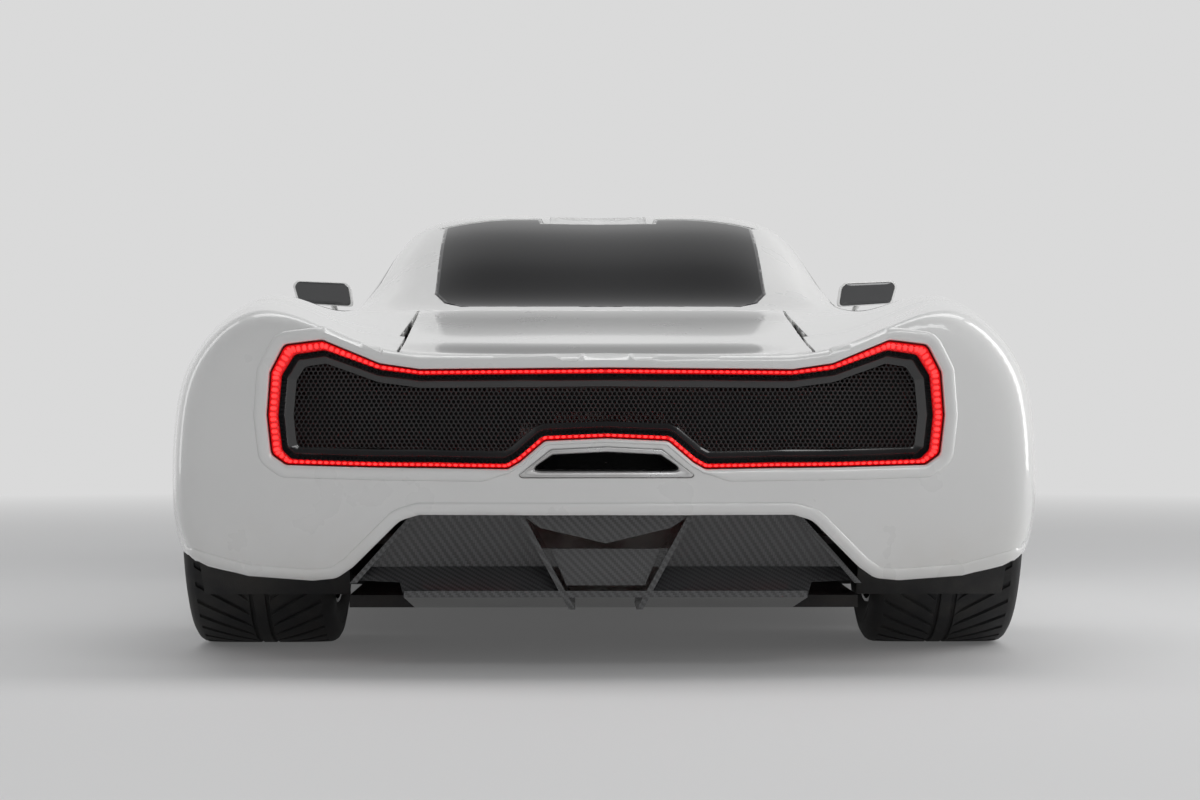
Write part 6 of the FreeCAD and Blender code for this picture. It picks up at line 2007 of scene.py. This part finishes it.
@dataclass(frozen=True)
class Steering(SubAssembly):
    """Steering wheel with a padded rim, three spokes, a hub and paddles."""

    centre: Point = (-.36, .3955, .666884)
    tilt: float = 22.0
    radius: float = .17
    grip: float = .015

    def build(self) -> None:
        """Make the wheel."""
        pieces = [self._rim(), self._hub()]
        for turn in (0.0, pi, 1.5 * pi):
            pieces.append(self._spoke(turn))
        wheel = joined("steering_wheel_dressed", pieces)
        self.dress(wheel, "dash_skin", "dash_skin", ("steering_wheel",), "steering_wheel")
        self.dress(self._paddles(), "dash_skin", "satin_metal", body="steering_wheel")

    def _spot(self, x: float, y: float, toward: float) -> Vector:
        """A point in the wheel's own plane, and toward the driver."""
        lean = radians(self.tilt)
        right = Vector((1, 0, 0))
        up = Vector((0, sin(lean), cos(lean)))
        axis = Vector((0, -cos(lean), sin(lean)))
        return Vector(self.centre) + right * x + up * y + axis * toward

    def _rim(self) -> Piece:
        """Rim with a flattened bottom and thumb swells."""
        rows = []
        for angle in turns(96):
            x, y = self.radius * cos(angle), self.radius * sin(angle)
            out = Vector((x, y)).normalized()
            thick = self.grip * (1 + .12 * exp(-((abs(sin(angle)) - .35) / .12) ** 2))
            thick = min(thick, self.grip * 1.06)
            y = max(y, -self.radius * .9)
            rows.append(np.array([self._spot(x + out.x * thick * cos(a) * .92, y + out.y * thick * cos(a) * .92,
                thick * sin(a)) for a in turns(14)]))
        rows.append(rows[0])
        return rows_mesh("rim", rows)

    def _hub(self) -> Piece:
        """Airbag cover and column shroud."""
        rows = []
        for size, toward in ((.03, -.105), (.036, -.1), (.036, -.045), (.05, -.03), (.06, -.012), (.062, .004),
                (.056, .014), (.04, .02), (.015, .022), (.001, .022)):
            rows.append(np.array([self._spot(size * copysign(abs(cos(a)) ** .8, cos(a)),
                .85 * size * copysign(abs(sin(a)) ** .8, sin(a)), toward) for a in turns(32)]))
        return rows_mesh("hub", rows, caps=True)

    def _spoke(self, turn: float) -> Piece:
        """One flat spoke from the hub to the rim."""
        rows = []
        reach = self.radius * (.9 if turn > 4 else 1.0)
        for t in np.linspace(0, 1, 7):
            radius = .045 + (reach - .05) * t
            half = .017 - .005 * sin(pi * t) + .004 * t
            thick = .0065
            ring = []
            for u, v in ((1, .5), (.8, 1), (-.8, 1), (-1, .5), (-1, -.5), (-.8, -1), (.8, -1), (1, -.5)):
                x = radius * cos(turn) - half * u * sin(turn)
                y = radius * sin(turn) + half * u * cos(turn)
                ring.append(self._spot(x, y, -.006 + thick * v))
            rows.append(np.array(ring))
        return rows_mesh("spoke", rows, caps=True)

    def _paddles(self) -> Piece:
        """Gear paddles behind the rim."""
        pieces = []
        for way in (-1, 1):
            rows = []
            for t in np.linspace(0, 1, 6):
                x = way * (.06 + .044 * t)
                half = .012 + .014 * t ** .7
                ring = [self._spot(x, half * u + .008, -.018 + .0022 * v)
                    for u, v in ((1, 1), (-1, 1), (-1, -1), (1, -1))]
                rows.append(np.array(ring))
            pieces.append(rows_mesh("paddle", rows, caps=True))
        return joined("steering_paddles", pieces)


@dataclass(frozen=True)
class Dashboard(SubAssembly):
    """Dashboard with a hood over the gauges, two screens and vents."""

    driver_x: float = -.36
    hood: tuple[Point, ...] = (
        (.125, .03, .15), (.09, .01, .158), (.058, .004, .16), (.058, .01, .148), (.085, .02, .146))

    def build(self) -> None:
        """Round the board's edges and put its fittings on."""
        node = self.shop.node("dashboard")
        rounded_box_edges(node, .012, 3)
        low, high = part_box("dashboard")
        back, top = low[1], high[2]
        rows = [self._arch(self.driver_x, back + y, top - drop, width) for y, drop, width in self.hood]
        self.dress(rows_mesh("gauge_hood", rows, closed=False), "dash_skin", "dash_skin")
        screens = []
        for x, z, width, tall in ((self.driver_x, top - .055, .115, .04), (0.0, top - .085, .105, .055)):
            screens.append(self._panel(x, back - .0006, z, width, tall, .004))
        self.dress(joined("dash_screens", screens), "dash_skin", "gloss_black")
        vents = []
        for x in (-.62, -.115, .115, .62):
            for k in range(4):
                vents.append(self._panel(x, back + .0002, top - .068 - .011 * k, .042, .0028, .006))
        self.dress(joined("dash_vents", vents), "dash_skin", "satin_metal")

    def _arch(self, x: float, y: float, z: float, width: float) -> Array:
        """Half round line across the hood."""
        return np.array([(x + width * cos(a), y, z - .06 + .066 * sin(a) ** .6)
            for a in np.linspace(.06, pi - .06, 25)])

    def _panel(self, x: float, y: float, z: float, width: float, tall: float, deep: float) -> Piece:
        """Thin panel with round corners that faces the tail."""
        corners = np.array([(x + a * width, z + b * tall) for a, b in ((-1, -1), (1, -1), (1, 1), (-1, 1))])
        edge = rounded_outline(corners, min(width, tall) * .5, min(width, tall) * .2)
        section = ((1, 0), (1, .7), (.97, 1), (.5, 1), (.02, 1))
        return rows_mesh("panel", [upright(drawn_row(edge, share), y - deep * level) for share, level in section])


@dataclass(frozen=True)
class PlainNodes(SubAssembly):
    """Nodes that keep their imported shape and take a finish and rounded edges."""

    nodes: tuple[tuple[str, str, float], ...] = (
        ("carbon_twill", "diffuser", .003), ("carbon_twill", "splitter", .004), ("cast_steel", "front_arms", .003),
        ("cast_steel", "rear_uprights", .004), ("cast_steel", "knuckle_left", .003),
        ("cast_steel", "knuckle_right", .003), ("cast_steel", "half_shaft_left", .002),
        ("cast_steel", "half_shaft_right", .002), ("engine_cast", "engine", .008), ("underbody", "tub", 0),
        ("underbody", "front_liners", 0), ("underbody", "rear_liners", 0), ("dash_skin", "dashboard", 0))

    def build(self) -> None:
        """Give each node its finish, and round its edges where a width is given."""
        for finish, name, width in self.nodes:
            node = self.shop.node(name)
            node.data.materials.clear()
            node.data.materials.append(self.shop.finishes[finish])
            if width:
                rounded_box_edges(node, width)


def main() -> None:
    """Build the car round its frame, piece by piece."""
    logging.basicConfig(level=logging.INFO, format="%(message)s")
    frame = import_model()
    finishes = {finish.name: finish.material() for finish in FINISHES}
    shop = Shop(frame, Skin(CAR), finishes)
    Studio(finishes).build()
    PlainNodes(shop).build()
    for sub_assembly in (Bodywork, Fascia, Glazing, TailLamp, TailMesh, Exhaust, NoseGrilles, Headlamps,
            RunningGear, Mirrors, Seats, Steering, Dashboard):
        sub_assembly(shop).build()
        LOG.info("built %s", sub_assembly.__name__)


if __name__ == "__main__":
    main()
